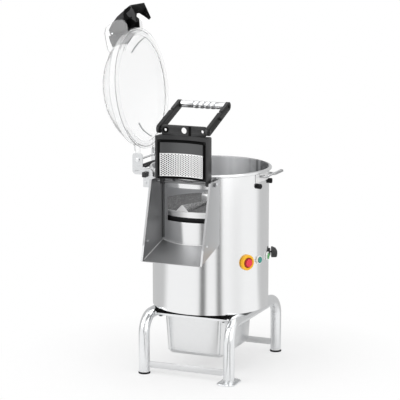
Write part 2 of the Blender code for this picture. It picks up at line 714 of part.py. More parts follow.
def pulley_points(bore, belt_radius, flange_rise, top):
    """Profile of a flat-belt pulley with two flanges."""
    outer = belt_radius + flange_rise
    return [(bore, PULLEY_BASE_Z), (bore, top), (outer, top), (outer, top - PULLEY_FLANGE_HEIGHT),
            (belt_radius, top - PULLEY_FLANGE_HEIGHT), (belt_radius, PULLEY_BASE_Z + PULLEY_FLANGE_HEIGHT),
            (outer, PULLEY_BASE_Z + PULLEY_FLANGE_HEIGHT), (outer, PULLEY_BASE_Z)]


def build_belt_mesh():
    """Flat belt round both pulleys, its runs tangent to them."""
    lean = math.degrees(math.asin((LARGE_BELT_RADIUS - SMALL_BELT_RADIUS) / MOTOR_Y))
    loops = []
    for extra in (GAP + BELT_THICKNESS, GAP):
        around_large = arc((0, 0), LARGE_BELT_RADIUS + extra, 180 - lean, 360 + lean, 32)
        around_small = arc((0, MOTOR_Y), SMALL_BELT_RADIUS + extra, lean, 180 - lean, 12)
        loops.append(around_large + around_small)
    width = PULLEY_HEIGHT - 2 * PULLEY_FLANGE_HEIGHT - 2 * RUNNING_GAP
    middle = PULLEY_BASE_Z + PULLEY_HEIGHT / 2
    return outline_mesh("drive_belt", loops, width, plan_view(middle))


def build_disc(spindle):
    """Abrasive disc with two wedge ridges, its hub and the black skirt under its edge."""
    hub_radius = 0.035
    hub_height = 0.040
    hub_shoulder = 0.012
    hub_drop = 0.050
    hub_base_z = DISC_TOP_Z - hub_drop
    edge_drop = 0.002
    rim_width = 0.014
    web_thickness = 0.010
    bore_rise = 0.022
    bore_top = DISC_TOP_Z + bore_rise
    bore = SHAFT_RADIUS + GAP
    hub_top = DISC_TOP_Z + hub_height
    band_base = DISC_TOP_Z - DISC_BAND
    crown = arc((hub_radius - hub_shoulder, hub_top - hub_shoulder), hub_shoulder, 90, 0, 4)
    points = [(0, hub_top)] + crown + [
        (hub_radius, DISC_TOP_Z), (DISC_RADIUS - edge_drop, DISC_TOP_Z),
        (DISC_RADIUS, DISC_TOP_Z - edge_drop),
        (DISC_RADIUS, band_base), (DISC_RADIUS - rim_width, band_base),
        (DISC_RADIUS - rim_width, DISC_TOP_Z - web_thickness), (hub_radius, DISC_TOP_Z - web_thickness),
        (hub_radius, hub_base_z), (bore, hub_base_z), (bore, bore_top), (0, bore_top)]
    disc = turned_part("peeling_disc", points, ABRASIVE, spindle, DISC_STEPS, merge=True)
    ridge_outer_half_width = 0.0285
    ridge_inner_half_width = 0.005
    ridge_outer_height = 0.024
    ridge_inner_height = 0.012
    ridge_crown = 0.006
    ridge_end = DISC_RADIUS - edge_drop - OVERRUN / 2
    ridge_start = hub_radius - hub_shoulder
    sections = []
    for reach, half_width, height in ((ridge_start, ridge_inner_half_width, ridge_inner_height),
                                      (ridge_end, ridge_outer_half_width, ridge_outer_height)):
        crown_half = min(ridge_crown, half_width / 2)
        base = DISC_TOP_Z - edge_drop
        top = DISC_TOP_Z + height
        sections.append([(reach, -half_width, base), (reach, -crown_half, top - crown_half / 2),
                         (reach, 0, top),
                         (reach, crown_half, top - crown_half / 2), (reach, half_width, base)])
    for number, angle in enumerate((RIDGE_ANGLE, RIDGE_ANGLE + 180)):
        name = "ridge_" + str(number)
        ridge = add_cutter(name, loft_mesh(name, sections, True, True))
        ridge.matrix_basis = Matrix.Rotation(math.radians(angle), 4, "Z")
        ridge.parent = spindle
        ridge.matrix_parent_inverse = DRAWN_AT[spindle.name].inverted()
        boolean(disc, ridge, "UNION")
    skirt_height = 0.024
    skirt_width = 0.006
    skirt_top = band_base - GAP
    turned_part("disc_skirt", ring_points(DISC_RADIUS - skirt_width, DISC_RADIUS, skirt_top - skirt_height,
                                          skirt_top),
                BLACK_RUBBER, spindle, DISC_STEPS)


RIDGE_ANGLE = -98


def chute_floor_z(y):
    """Height of the chute floor's middle surface."""
    return CHUTE_LIP_Z + (y - CHUTE_LIP_Y) * CHUTE_FLOOR_RISE_SHARE


def build_chute(root):
    """Folded sheet chute: a sloping floor, two side plates with turned-out front edges, two lock pins."""
    middle = CHUTE_HALF_WIDTH - SHEET / 2
    back_z = chute_floor_z(CHUTE_BACK_Y)
    corners = ((CHUTE_BACK_Y, CHUTE_TOP_Z), (CHUTE_TOP_FRONT_Y, CHUTE_TOP_Z), (CHUTE_LIP_Y, CHUTE_LIP_Z),
               (CHUTE_BACK_Y, back_z))
    shape = bmesh.new()
    sides = []
    for sign in (-1, 1):
        side = [shape.verts.new((sign * middle, y, z)) for y, z in corners]
        shape.faces.new(side)
        flange = [shape.verts.new((sign * (middle + CHUTE_FLANGE), y, z)) for y, z in corners[1:3]]
        shape.faces.new((side[1], flange[0], flange[1], side[2]))
        sides.append(side)
    left, right = sides
    shape.faces.new((left[2], left[3], right[3], right[2]))
    bmesh.ops.recalc_face_normals(shape, faces=shape.faces)
    chute = add_part("discharge_chute", to_mesh("discharge_chute", shape), SATIN_STEEL, root)
    wall = chute.modifiers.new("sheet", "SOLIDIFY")
    wall.thickness = SHEET
    wall.offset = 0
    wall.use_even_offset = True
    drum_space = add_cutter("chute_drum_space", rod_mesh("chute_drum_space", DRUM_RADIUS + GAP,
                                                        (0, 0, CHUTE_LIP_Z - OVERRUN),
                                                        (0, 0, CHUTE_TOP_Z + OVERRUN), 128))
    drum_space.parent = root
    boolean(chute, drum_space)
    reach = CHUTE_HALF_WIDTH + OVERRUN
    pin_hole = add_cutter("door_pin_hole", rod_mesh("door_pin_hole", DOOR_PIN_RADIUS + RUNNING_GAP,
                                                    (-reach, DOOR_HINGE_Y, DOOR_HINGE_Z),
                                                    (reach, DOOR_HINGE_Y, DOOR_HINGE_Z), SMALL_STEPS))
    pin_hole.parent = root
    boolean(chute, pin_hole)
    for side, sign in (("left", -1), ("right", 1)):
        name = "lock_pin_" + side
        start = (sign * middle, LOCK_PIN_Y, LOCK_PIN_Z)
        end = (sign * LOCK_PIN_END_X, LOCK_PIN_Y, LOCK_PIN_Z)
        pin = add_cutter(name, rod_mesh(name, LOCK_PIN_RADIUS, start, end))
        pin.parent = root
        boolean(chute, pin, "UNION")
    head_radius = 0.008
    head_height = 0.004
    seat = CHUTE_HALF_WIDTH + GAP
    points = [(0, seat + head_height), (head_radius, seat + head_height), (head_radius, seat),
              (DOOR_PIN_RADIUS, seat), (DOOR_PIN_RADIUS, -seat), (head_radius, -seat),
              (head_radius, -seat - head_height), (0, -seat - head_height)]
    along_x = Matrix.Translation((0, DOOR_HINGE_Y, DOOR_HINGE_Z)) @ Matrix.Rotation(math.radians(90), 4, "Y")
    turned_part("door_hinge_pin", points, BRIGHT_STEEL, root, SMALL_STEPS, along_x, merge=True)


def door_cutter(name, data, door):
    """A tool that moves with the door."""
    tool = add_cutter(name, data)
    attach(tool, door)
    return tool


def arc_band(inner, outer):
    """Outline, seen from above, of a band of the drum's curve at the front, as wide as the door."""
    half_angle = math.degrees(math.asin(DOOR_HALF_WIDTH / DRUM_RADIUS)) + 10
    return (arc((0, 0), inner, 270 - half_angle, 270 + half_angle, 12)
            + arc((0, 0), outer, 270 + half_angle, 270 - half_angle, 12))


def build_door(root):
    """Black frame with a curved face, rubber seal, perforated insert, blank panel and lock bar."""
    door = add_pivot("door_hinge", (0, DOOR_HINGE_Y, DOOR_HINGE_Z), root)
    frame_depth_y = -math.sqrt(FRAME_FACE_RADIUS ** 2 - DOOR_HALF_WIDTH ** 2) + OVERRUN
    edge_round = 0.005
    spans = (-DOOR_HALF_WIDTH, DOOR_HALF_WIDTH), (DOOR_OUTER_Y, frame_depth_y), (DOOR_BASE_Z, DOOR_TOP_Z)
    frame = bevel(add_part("door_frame", box_mesh("door_frame", *spans), BLACK_PLASTIC, door), edge_round, 2)
    top = DOOR_TOP_Z + OVERRUN
    base = DOOR_BASE_Z - OVERRUN
    face = door_cutter("frame_face", rod_mesh("frame_face", FRAME_FACE_RADIUS, (0, 0, base), (0, 0, top), 96),
                       door)
    boolean(frame, face)
    core_radius = INSERT_FACE_RADIUS + INSERT_THICKNESS + GAP
    core_inset = 0.001
    spans = ((-INSERT_HALF_WIDTH + core_inset, INSERT_HALF_WIDTH - core_inset),
             (DOOR_OUTER_Y + edge_round, frame_depth_y),
             (INSERT_BASE_Z + core_inset, INSERT_TOP_Z - core_inset))
    core = door_cutter("frame_core", box_mesh("frame_core", *spans), door)
    inner = door_cutter("core_face", rod_mesh("core_face", core_radius, (0, 0, base), (0, 0, top), 96), door)
    boolean(core, inner)
    boolean(frame, core, "UNION")
    pocket_margin = 0.006
    pocket_depth = 0.014
    spans = ((-INSERT_HALF_WIDTH + pocket_margin, INSERT_HALF_WIDTH - pocket_margin),
             (-DRUM_RADIUS - pocket_depth, frame_depth_y),
             (INSERT_SPLIT_Z + pocket_margin, INSERT_TOP_Z - pocket_margin))
    boolean(frame, door_cutter("frame_pocket", box_mesh("frame_pocket", *spans), door))
    lug_inset = 0.0056
    lug_thickness = 0.015
    lug_inner_x = DOOR_HALF_WIDTH - lug_inset - lug_thickness
    lug_radius = 0.009
    lug_foot_z = DOOR_TOP_Z - edge_round - OVERRUN
    outline = [(DOOR_HINGE_Y + lug_radius, lug_foot_z)]
    outline += arc((DOOR_HINGE_Y, DOOR_HINGE_Z), lug_radius, 0, 180, 8)
    outline += [(DOOR_OUTER_Y + GAP, DOOR_HINGE_Z - lug_radius), (DOOR_OUTER_Y + GAP, lug_foot_z)]
    for side, sign in (("left", -1), ("right", 1)):
        name = "door_lug_" + side
        data = outline_mesh(name, outline, lug_thickness, side_view(sign * (lug_inner_x + lug_thickness / 2)))
        boolean(frame, door_cutter(name, data, door), "UNION")
    reach = DOOR_HALF_WIDTH
    data = rod_mesh("lug_bore", DOOR_PIN_RADIUS + RUNNING_GAP, (-reach, DOOR_HINGE_Y, DOOR_HINGE_Z),
                    (reach, DOOR_HINGE_Y, DOOR_HINGE_Z), SMALL_STEPS)
    boolean(frame, door_cutter("lug_bore", data, door))
    build_door_face(door)
    build_lock_bar(door)
    return door


def build_door_face(door):
    """The seal ring round the insert, the perforated part and the blank part."""
    middle_z = (INSERT_BASE_Z + INSERT_TOP_Z) / 2
    half_height = (INSERT_TOP_Z - INSERT_BASE_Z) / 2
    corner = 0.0006
    edge_corner = 0.010
    depth = 0.060
    place = front_view(-DRUM_RADIUS)
    hole = rounded_rectangle(INSERT_HALF_WIDTH + GAP, half_height + GAP, corner, 2, (0, middle_z))
    edge = rounded_rectangle(INSERT_HALF_WIDTH + SEAL_WIDTH, half_height + SEAL_WIDTH, edge_corner, 3,
                             (0, middle_z))
    seal = add_part("door_seal", outline_mesh("door_seal", [edge, hole], depth, place), BLACK_RUBBER, door)
    base, height = DOOR_BASE_Z, DOOR_TOP_Z - DOOR_BASE_Z
    band = arc_band(FRAME_FACE_RADIUS - GAP - SEAL_PROUD, FRAME_FACE_RADIUS - GAP)
    data = outline_mesh("seal_band", band, height, plan_view(base + height / 2))
    boolean(seal, door_cutter("seal_band", data, door), "INTERSECT")
    blank_height = INSERT_SPLIT_Z - INSERT_BASE_Z
    band = insert_band()
    data = outline_mesh("blank_panel", band, blank_height - GAP,
                        plan_view((INSERT_BASE_Z + INSERT_SPLIT_Z - GAP) / 2))
    smooth(add_part("blank_panel", data, GREY_STEEL, door))
    data = outline_mesh("perforated_insert", band, INSERT_TOP_Z - INSERT_SPLIT_Z,
                        plan_view((INSERT_SPLIT_Z + INSERT_TOP_Z) / 2))
    insert = add_part("perforated_insert", data, SATIN_STEEL, door)
    boolean(insert, door_cutter("insert_holes", hole_pattern(), door))


def insert_band():
    """Outline from above of the curved insert sheet, flush with the drum's inner wall."""
    inner, outer = INSERT_FACE_RADIUS, INSERT_FACE_RADIUS + INSERT_THICKNESS
    lean = math.degrees(math.asin(INSERT_HALF_WIDTH / outer))
    return arc((0, 0), inner, 270 - lean, 270 + lean, 12) + arc((0, 0), outer, 270 + lean, 270 - lean, 12)


def hole_pattern():
    """Staggered rows of six-sided punches, square to the curved sheet."""
    pitch = 0.0185
    row_pitch = 0.0160
    hole_radius = 0.0055
    margin = 0.008
    shape = bmesh.new()
    rows = int((INSERT_TOP_Z - INSERT_SPLIT_Z - 2 * margin) / row_pitch) + 1
    start_z = (INSERT_TOP_Z + INSERT_SPLIT_Z - (rows - 1) * row_pitch) / 2
    for row in range(rows):
        count = int((2 * INSERT_HALF_WIDTH - 2 * margin) / pitch) + 1 - row % 2
        for column in range(count):
            along = (column - (count - 1) / 2) * pitch
            lean = along / INSERT_FACE_RADIUS
            place = (Matrix.Rotation(lean, 4, "Z")
                     @ Matrix.Translation((0, -DRUM_RADIUS, start_z + row * row_pitch))
                     @ Matrix.Rotation(math.radians(90), 4, "X"))
            bmesh.ops.create_cone(shape, cap_ends=True, segments=6, radius1=hole_radius, radius2=hole_radius,
                                  depth=4 * OVERRUN, matrix=place)
    return to_mesh("insert_holes", shape)


def build_lock_bar(door):
    """Bar below the closed door with three holes, a black boss ring and the lever's pivot pins."""
    bar_top = DOOR_BASE_Z - GAP
    outer_y = LOCK_BAR_INNER_Y - LOCK_BAR_THICKNESS
    corner = 0.006
    half_height = (bar_top - LOCK_BAR_BASE_Z) / 2
    centre_z = (bar_top + LOCK_BAR_BASE_Z) / 2
    outline = rounded_rectangle(LOCK_BAR_HALF_WIDTH, half_height, corner, 3, (0, centre_z))
    hole_z = centre_z
    middle_hole = 0.01225
    side_hole = 0.0065
    side_hole_inset = 0.014
    side_hole_x = LOCK_BAR_HALF_WIDTH - side_hole_inset
    holes = [circle((x, hole_z), radius) for x, radius in
             ((-side_hole_x, side_hole), (0, middle_hole), (side_hole_x, side_hole))]
    middle_y = LOCK_BAR_INNER_Y - LOCK_BAR_THICKNESS / 2
    data = outline_mesh("lock_bar", [outline] + holes, LOCK_BAR_THICKNESS, front_view(middle_y))
    bar = add_part("lock_bar", data, BLACK_PLASTIC, door)
    pin_root = LOCK_BAR_HALF_WIDTH - LEVER_PIVOT_RADIUS
    head_radius = 0.007
    head_height = 0.0025
    arm_outer = ARM_INNER_X + ARM_THICKNESS
    for side, sign in (("left", -1), ("right", 1)):
        name = "lever_pivot_" + side
        pieces = ((LEVER_PIVOT_RADIUS, pin_root, arm_outer + head_height),
                  (head_radius, arm_outer + GAP, arm_outer + head_height))
        for number, (radius, start, end) in enumerate(pieces):
            part_name = name + "_" + str(number)
            data = rod_mesh(part_name, radius, (sign * start, LEVER_PIVOT_Y, LEVER_PIVOT_Z),
                            (sign * end, LEVER_PIVOT_Y, LEVER_PIVOT_Z), SMALL_STEPS)
            boolean(bar, door_cutter(part_name, data, door), "UNION")


def build_lever(door):
    """Two arms with hook stubs and a lobed grip between them, drawn with the door closed."""
    arm_length = 0.200
    arm_angle = 180 + 20.9
    half_height = 0.016
    notch_reach = 0.125
    notch_radius = 0.006
    stub_reach = 0.1006
    stub_radius = 0.006
    stub_length = 0.009
    lever = add_pivot("lever_pivot", (0, LEVER_PIVOT_Y, LEVER_PIVOT_Z), door)
    turn = math.radians(arm_angle)
    lean = Matrix.Translation((0, LEVER_PIVOT_Y, LEVER_PIVOT_Z)) @ Matrix.Rotation(turn, 4, "X")
    outline = arc((0, 0), half_height, 90, 270, 8) + arc((arm_length, 0), half_height, -90, 90, 8)
    outline += arc((notch_reach, half_height), notch_radius, 0, -180, 6)
    pivot_hole = circle((0, 0), LEVER_PIVOT_RADIUS + RUNNING_GAP)
    outer_x = ARM_INNER_X + ARM_THICKNESS
    bolt_radius = 0.007
    bolt_height = 0.0035
    for side, sign in (("left", -1), ("right", 1)):
        name = "lever_arm_" + side
        place = lean @ side_view(sign * (ARM_INNER_X + ARM_THICKNESS / 2))
        arm = add_part(name, outline_mesh(name, [outline, pivot_hole], ARM_THICKNESS, place), BLACK_PLASTIC,
                       lever)
        pieces = ((stub_reach, stub_radius, outer_x + stub_length),
                  (arm_length, bolt_radius, outer_x + bolt_height))
        for number, (reach, radius, end) in enumerate(pieces):
            tool_name = name + "_boss_" + str(number)
            data = rod_mesh(tool_name, radius, (sign * (outer_x - OVERRUN), reach, 0), (sign * end, reach, 0),
                            16)
            data.transform(lean)
            boss = add_cutter(tool_name, data)
            attach(boss, lever)
            boolean(arm, boss, "UNION")
    lobe_pitch = 0.022
    lobes = 4
    lobe_radius = 0.0148
    waist_radius = 0.0130
    plain_radius = 0.0135
    plain_edge = 0.002
    half_length = ARM_INNER_X - GAP
    left_plain = 0.045
    points = [(0, half_length), (plain_radius - plain_edge, half_length),
              (plain_radius, half_length - plain_edge)]
    lobes_top = -half_length + left_plain + lobes * lobe_pitch
    for lobe in range(lobes):
        top = lobes_top - lobe * lobe_pitch
        points += [(waist_radius, top), (lobe_radius, top - lobe_pitch / 4),
                   (lobe_radius, top - 3 * lobe_pitch / 4)]
    points += [(waist_radius, lobes_top - lobes * lobe_pitch),
               (plain_radius, -half_length + left_plain - plain_edge),
               (plain_radius, -half_length + plain_edge), (plain_radius - plain_edge, -half_length),
               (0, -half_length)]
    place = lean @ Matrix.Translation((0, arm_length, 0)) @ Matrix.Rotation(math.radians(90), 4, "Y")
    turned_part("lever_grip", points, CHROME, lever, SMALL_STEPS, place, merge=True)
    return lever


# Lid, drawn closed
LID_FLANGE = 0.004
LID_WALL = 0.0035
LID_SKIRT_REACH = 0.003
LID_SHOULDER_INSET = 0.003
LID_MOUTH_INSET = 0.0185
LID_SKIRT_RADIUS = DRUM_RADIUS + LID_SKIRT_REACH
LID_SHOULDER_RADIUS = DRUM_RADIUS - LID_SHOULDER_INSET
LID_SHOULDER_HEIGHT = 0.035
LID_HEIGHT = 0.140
EAR_BACK_REACH = 0.081
EAR_FRONT_REACH = 0.028
# Rounded outline of the latch ears from the pin, in shares of the pin's height over the lid's base
EAR_SHARES = ((0.61, -0.81), (0.73, -0.62), (0.71, -0.34), (0.56, 0.06), (0.36, 0.34), (0.06, 0.456),
              (-0.40, 0.44), (-0.86, 0.39), (-1.15, 0.22))
EAR_Y = 0.0645
EAR_THICKNESS = 0.005
HINGE_EAR_Y = 0.075
HINGE_EAR_THICKNESS = 0.010
HINGE_PIN_RADIUS = 0.004


def dome_arc(wall):
    """Half of the dome's section from its top to its shoulder, set in by a wall."""
    rise = LID_HEIGHT - LID_SHOULDER_HEIGHT
    radius = (LID_SHOULDER_RADIUS ** 2 + rise ** 2) / (2 * rise)
    centre_z = LID_BASE_Z + LID_HEIGHT - radius
    sweep = math.degrees(math.asin(LID_SHOULDER_RADIUS / radius))
    return arc((0, centre_z), radius - wall, 90, 90 - sweep, 5)


def build_lid(root):
    """Clear dome with a flat flange, ears for the latch pin, lugs for the hinge pin and a bolt head."""
    lid = add_pivot("lid_hinge", (LID_HINGE_X, 0, LID_HINGE_Z), root)
    flange_top = LID_BASE_Z + LID_FLANGE
    mouth = DRUM_RADIUS - LID_MOUTH_INSET
    outside = dome_arc(0)[:-1] + [
        (LID_SHOULDER_RADIUS, LID_BASE_Z + LID_SHOULDER_HEIGHT), (LID_SKIRT_RADIUS, flange_top),
        (LID_RADIUS, flange_top), (LID_RADIUS, LID_BASE_Z), (0, LID_BASE_Z)]
    dome = turned_part("lid_dome", outside, CLEAR_PLASTIC, lid, DISC_STEPS, merge=True)
    ear_back = LATCH_PIVOT_X - EAR_BACK_REACH
    ear_front = LATCH_PIVOT_X + EAR_FRONT_REACH
    outline = [(ear_back, flange_top - GAP), (ear_front, flange_top - GAP)]
    outline += places(Vector((LATCH_PIVOT_X, LATCH_PIVOT_Z)), EAR_SHARES, LATCH_PIVOT_RISE)
    pieces = []
    for side, sign in (("left", -1), ("right", 1)):
        place = front_view(sign * (EAR_Y + EAR_THICKNESS / 2))
        pieces.append(("latch_ear_" + side, outline_mesh("latch_ear", outline, EAR_THICKNESS, place)))
    lug_radius = 0.011
    lug_root = 2 * LID_WALL - math.sqrt(LID_SHOULDER_RADIUS ** 2 - (HINGE_EAR_Y + HINGE_EAR_THICKNESS) ** 2)
    outline = arc((LID_HINGE_X, LID_HINGE_Z), lug_radius, 90, 270, 8)
    outline += [(lug_root, LID_HINGE_Z - lug_radius), (lug_root, LID_HINGE_Z + lug_radius)]
    for side, sign in (("left", -1), ("right", 1)):
        place = front_view(sign * (HINGE_EAR_Y + HINGE_EAR_THICKNESS / 2))
        pieces.append(("hinge_lug_" + side, outline_mesh("hinge_lug", outline, HINGE_EAR_THICKNESS, place)))
    for name, data in pieces:
        piece = add_cutter(name, data)
        attach(piece, lid)
        boolean(dome, piece, "UNION")
    shoulder = (LID_SHOULDER_RADIUS - LID_WALL, LID_BASE_Z + LID_SHOULDER_HEIGHT)
    inside = dome_arc(LID_WALL)[:-1] + [shoulder, (LID_SKIRT_RADIUS - LID_WALL, flange_top),
                                        (mouth, flange_top),
                                        (mouth, LID_BASE_Z - OVERRUN), (0, LID_BASE_Z - OVERRUN)]
    space = add_cutter("lid_space", profile_mesh("lid_space", inside, False))
    attach(space, lid)
    spin(space, DISC_STEPS, merge=True)
    boolean(dome, space)
    ear_reach = EAR_Y + EAR_THICKNESS + OVERRUN
    lug_reach = HINGE_EAR_Y + HINGE_EAR_THICKNESS + OVERRUN
    for name, x, z, radius, reach in (
            ("latch_bore", LATCH_PIVOT_X, LATCH_PIVOT_Z, LATCH_PIN_RADIUS + GAP, ear_reach),
            ("hinge_bore", LID_HINGE_X, LID_HINGE_Z, HINGE_PIN_RADIUS + RUNNING_GAP, lug_reach)):
        bore = add_cutter(name, rod_mesh(name, radius, (x, -reach, z), (x, reach, z), SMALL_STEPS))
        attach(bore, lid)
        boolean(dome, bore)
    pin_reach = EAR_Y + EAR_THICKNESS
    data = rod_mesh("latch_pin", LATCH_PIN_RADIUS, (LATCH_PIVOT_X, -pin_reach, LATCH_PIVOT_Z),
                    (LATCH_PIVOT_X, pin_reach, LATCH_PIVOT_Z))
    smooth(add_part("latch_pin", data, BRIGHT_STEEL, lid))
    return lid


# Catch bar, and the latch hood that hooks under it, drawn closed
CATCH_BAR_REACH = 0.055
CATCH_BAR_DROP = 0.009
CATCH_BAR_X = DRUM_RADIUS + CATCH_BAR_REACH
CATCH_BAR_Z = DRUM_TOP_Z - CATCH_BAR_DROP
CATCH_BAR_RADIUS = 0.0045
CATCH_HALF_LENGTH = 0.050
HOOD_HALF_WIDTH = 0.061
HOOD_CHEEK = 0.0065
HOOD_SKIN = 0.004
HOOD_LIP_HALF_WIDTH = 0.045
HOOD_BARREL = 0.012
HOOD_LENGTH = 0.063
HOOD_HOOK = 0.045
# Outline of the hood's cheeks: crown and underside from the pivot, in shares of the hood's length,
# nose and hook from the catch bar, in shares of the hook's reach
CROWN_SHARES = ((0.238, 0.2635), (0.603, 0), (1, -0.403))
UNDER_SHARES = ((0.825, -0.792), (0.683, -0.935), (0.127, -0.935))
NOSE_SHARES = ((0.933, -0.011), (1, -0.2))
HOOK_SHARES = ((-0.333, -0.678), (-0.489, -0.522), (-0.156, -0.122), (0.2, 0.389), (0.4, 0.533))
POCKET_SHARES = ((0.667, -0.711), (-1.422, -0.711))
LIP_SHARE = (0.622, -0.322)
# Outline of the block behind the hood, from the pivot in shares of the hood's length
BLOCK_SHARES = ((-0.127, 0.270), (-0.317, 0.262), (-0.556, 0.205), (-0.825, 0.105), (-0.825, -0.6),
                (-0.127, -0.6))


def places(origin, shares, size):
    """Points round an origin, given as shares of a size."""
    return [(origin.x + across * size, origin.y + up * size) for across, up in shares]


def build_latch(lid):
    """Black hood on a pin: two hooked cheeks, a skin over them and a lip that pulls on the catch bar."""
    latch = add_pivot("latch_pivot", (LATCH_PIVOT_X, 0, LATCH_PIVOT_Z), lid)
    barrel = HOOD_BARREL
    pivot = Vector((LATCH_PIVOT_X, LATCH_PIVOT_Z))
    bar = Vector((CATCH_BAR_X, CATCH_BAR_Z))
    crown = places(pivot, CROWN_SHARES, HOOD_LENGTH)
    nose = places(bar, NOSE_SHARES, HOOD_HOOK)
    hook = places(bar, HOOK_SHARES, HOOD_HOOK)
    under = places(pivot, UNDER_SHARES, HOOD_LENGTH)
    outline = arc(pivot, barrel, 270, 100, 8) + crown + nose + hook + under
    data = outline_mesh("latch_hood", outline, 2 * HOOD_HALF_WIDTH, front_view(0))
    hood = add_part("latch_hood", data, BLACK_PLASTIC, latch)
    inner_half = HOOD_HALF_WIDTH - HOOD_CHEEK
    skin = [Vector(point) for point in crown + nose]
    inward = [Vector((-HOOD_SKIN / 2, -HOOD_SKIN)), Vector((-HOOD_SKIN, -HOOD_SKIN)),
              Vector((-HOOD_SKIN, -HOOD_SKIN / 2)),
              Vector((-HOOD_SKIN, 0)), Vector((-HOOD_SKIN, HOOD_SKIN / 2))]
    inner_skin = [tuple(point + step) for point, step in zip(skin, inward)]
    low_corners = places(bar, POCKET_SHARES, HOOD_HOOK)
    pocket = inner_skin + low_corners + [(low_corners[1][0], pivot.y - barrel - GAP),
                                         (pivot.x + barrel + HOOD_SKIN / 2, pivot.y - barrel)]
    data = outline_mesh("hood_pocket", pocket, 2 * inner_half, front_view(0))
    pocket_tool = add_cutter("hood_pocket", data)
    attach(pocket_tool, latch)
    boolean(hood, pocket_tool)
    lip_clearance = 0.004
    lip_drop = 0.0035
    lip_inner = bar.x + CATCH_BAR_RADIUS + lip_clearance
    lip_top = bar.y - lip_drop
    lip = [(lip_inner, lip_top), (nose[0][0] - HOOD_SKIN / 2, lip_top),
           (nose[1][0] - HOOD_SKIN / 2, nose[1][1])]
    lip += places(bar, [LIP_SHARE], HOOD_HOOK) + [(lip_inner, lip_top - HOOD_SKIN)]
    lip_tool = add_cutter("hood_lip", outline_mesh("hood_lip", lip, 2 * HOOD_LIP_HALF_WIDTH, front_view(0)))
    attach(lip_tool, latch)
    boolean(hood, lip_tool, "UNION")
    bore = add_cutter("hood_bore", rod_mesh("hood_bore", LATCH_PIN_RADIUS + RUNNING_GAP,
                                            (pivot.x, -EAR_Y, pivot.y), (pivot.x, EAR_Y, pivot.y),
                                            SMALL_STEPS))
    attach(bore, latch)
    boolean(hood, bore)
    return latch


def build_latch_block(lid):
    """Black block on the dome behind the hood's barrel, hollowed to clear it."""
    pivot = Vector((LATCH_PIVOT_X, LATCH_PIVOT_Z))
    outline = places(pivot, BLOCK_SHARES, HOOD_LENGTH)
    half_width = EAR_Y - GAP
    block = add_part("latch_block", outline_mesh("latch_block", outline, 2 * half_width, front_view(0)),
                     BLACK_PLASTIC, lid)
    barrel_space = rod_mesh("block_barrel_space", HOOD_BARREL + 2 * RUNNING_GAP, (pivot.x, -EAR_Y, pivot.y),
                            (pivot.x, EAR_Y, pivot.y), 24)
    skirt = LID_SKIRT_RADIUS + GAP
    under = dome_arc(-GAP)[:-1] + [(LID_SHOULDER_RADIUS + GAP, LID_BASE_Z + LID_SHOULDER_HEIGHT),
                                   (skirt, LID_BASE_Z + LID_FLANGE), (skirt, LID_BASE_Z), (0, LID_BASE_Z)]
    tool = add_cutter("block_barrel_space", barrel_space)
    attach(tool, lid)
    boolean(block, tool)
    dome = add_cutter("block_dome_space", profile_mesh("block_dome_space", under, False))
    attach(dome, lid)
    spin(dome, DISC_STEPS, merge=True)
    boolean(block, dome)


PLATE_SEAT = DRUM_RADIUS + GAP
CATCH_SHEET = 0.002
CATCH_CORNER_SHARE = 0.7


def curved_plate(inner, thickness, start, end, base, top):
    """A plate that follows the drum between two angles in degrees."""
    steps = max(3, int((end - start) / 4))
    outer = inner + thickness
    outline = arc((0, 0), inner, start, end, steps) + arc((0, 0), outer, end, start, steps)
    return outline_mesh("curved_plate", outline, top - base, plan_view((base + top) / 2))


def build_catch(root):
    """Catch plate on the drum, its wire loop and two rubber studs."""
    plate_height = 0.030
    plate_top = DRUM_TOP_Z - 2 * BEAD_RADIUS - GAP
    plate_base = plate_top - plate_height
    start, end = -18.5, 13
    data = curved_plate(PLATE_SEAT, CATCH_SHEET, start, end, plate_base, plate_top)
    data.name = "catch_plate"
    smooth(add_part("catch_plate", data, SATIN_STEEL, root))
    arm_y = CATCH_HALF_LENGTH - CATCH_BAR_RADIUS
    arm_drop = 0.0135
    arm_z = CATCH_BAR_Z - arm_drop
    arm_start = math.sqrt((PLATE_SEAT + CATCH_SHEET) ** 2 - (arm_y - CATCH_BAR_RADIUS) ** 2) + GAP
    corner = 0.008
    rise_reach = 0.021
    rise_start = DRUM_RADIUS + rise_reach
    arm = [(arm_start, arm_z), (rise_start, arm_z), (CATCH_BAR_X - corner, CATCH_BAR_Z)]
    points = [(x, -arm_y, z) for x, z in arm]
    points += [(CATCH_BAR_X - corner + y, x, CATCH_BAR_Z) for x, y in
               ((-arm_y + corner * (1 - CATCH_CORNER_SHARE), corner * CATCH_CORNER_SHARE),
                (-arm_y + corner, corner))]
    points += [(x, -y, z) for x, y, z in reversed(points)]
    smooth(add_part("catch_loop", tube_mesh("catch_loop", points, CATCH_BAR_RADIUS, 3), BRIGHT_STEEL, root),
           60)
    stud_radius = 0.010
    stud_reach = 0.0145
    stud_end = DRUM_RADIUS + stud_reach
    stud_edge = 0.002
    front_stud_drop = 0.0157
    rear_stud_drop = 0.0107
    seat = PLATE_SEAT
    points = [(0, stud_end), (stud_radius - stud_edge, stud_end), (stud_radius, stud_end - stud_edge),
              (stud_radius, seat), (0, seat)]
    for name, angle, drop in (("catch_stud_front", -14.6, front_stud_drop),
                              ("catch_stud_rear", 12.5, rear_stud_drop)):
        turned_part(name, points, BLACK_RUBBER, root, SMALL_STEPS, radial(angle, plate_base - drop),
                    merge=True)


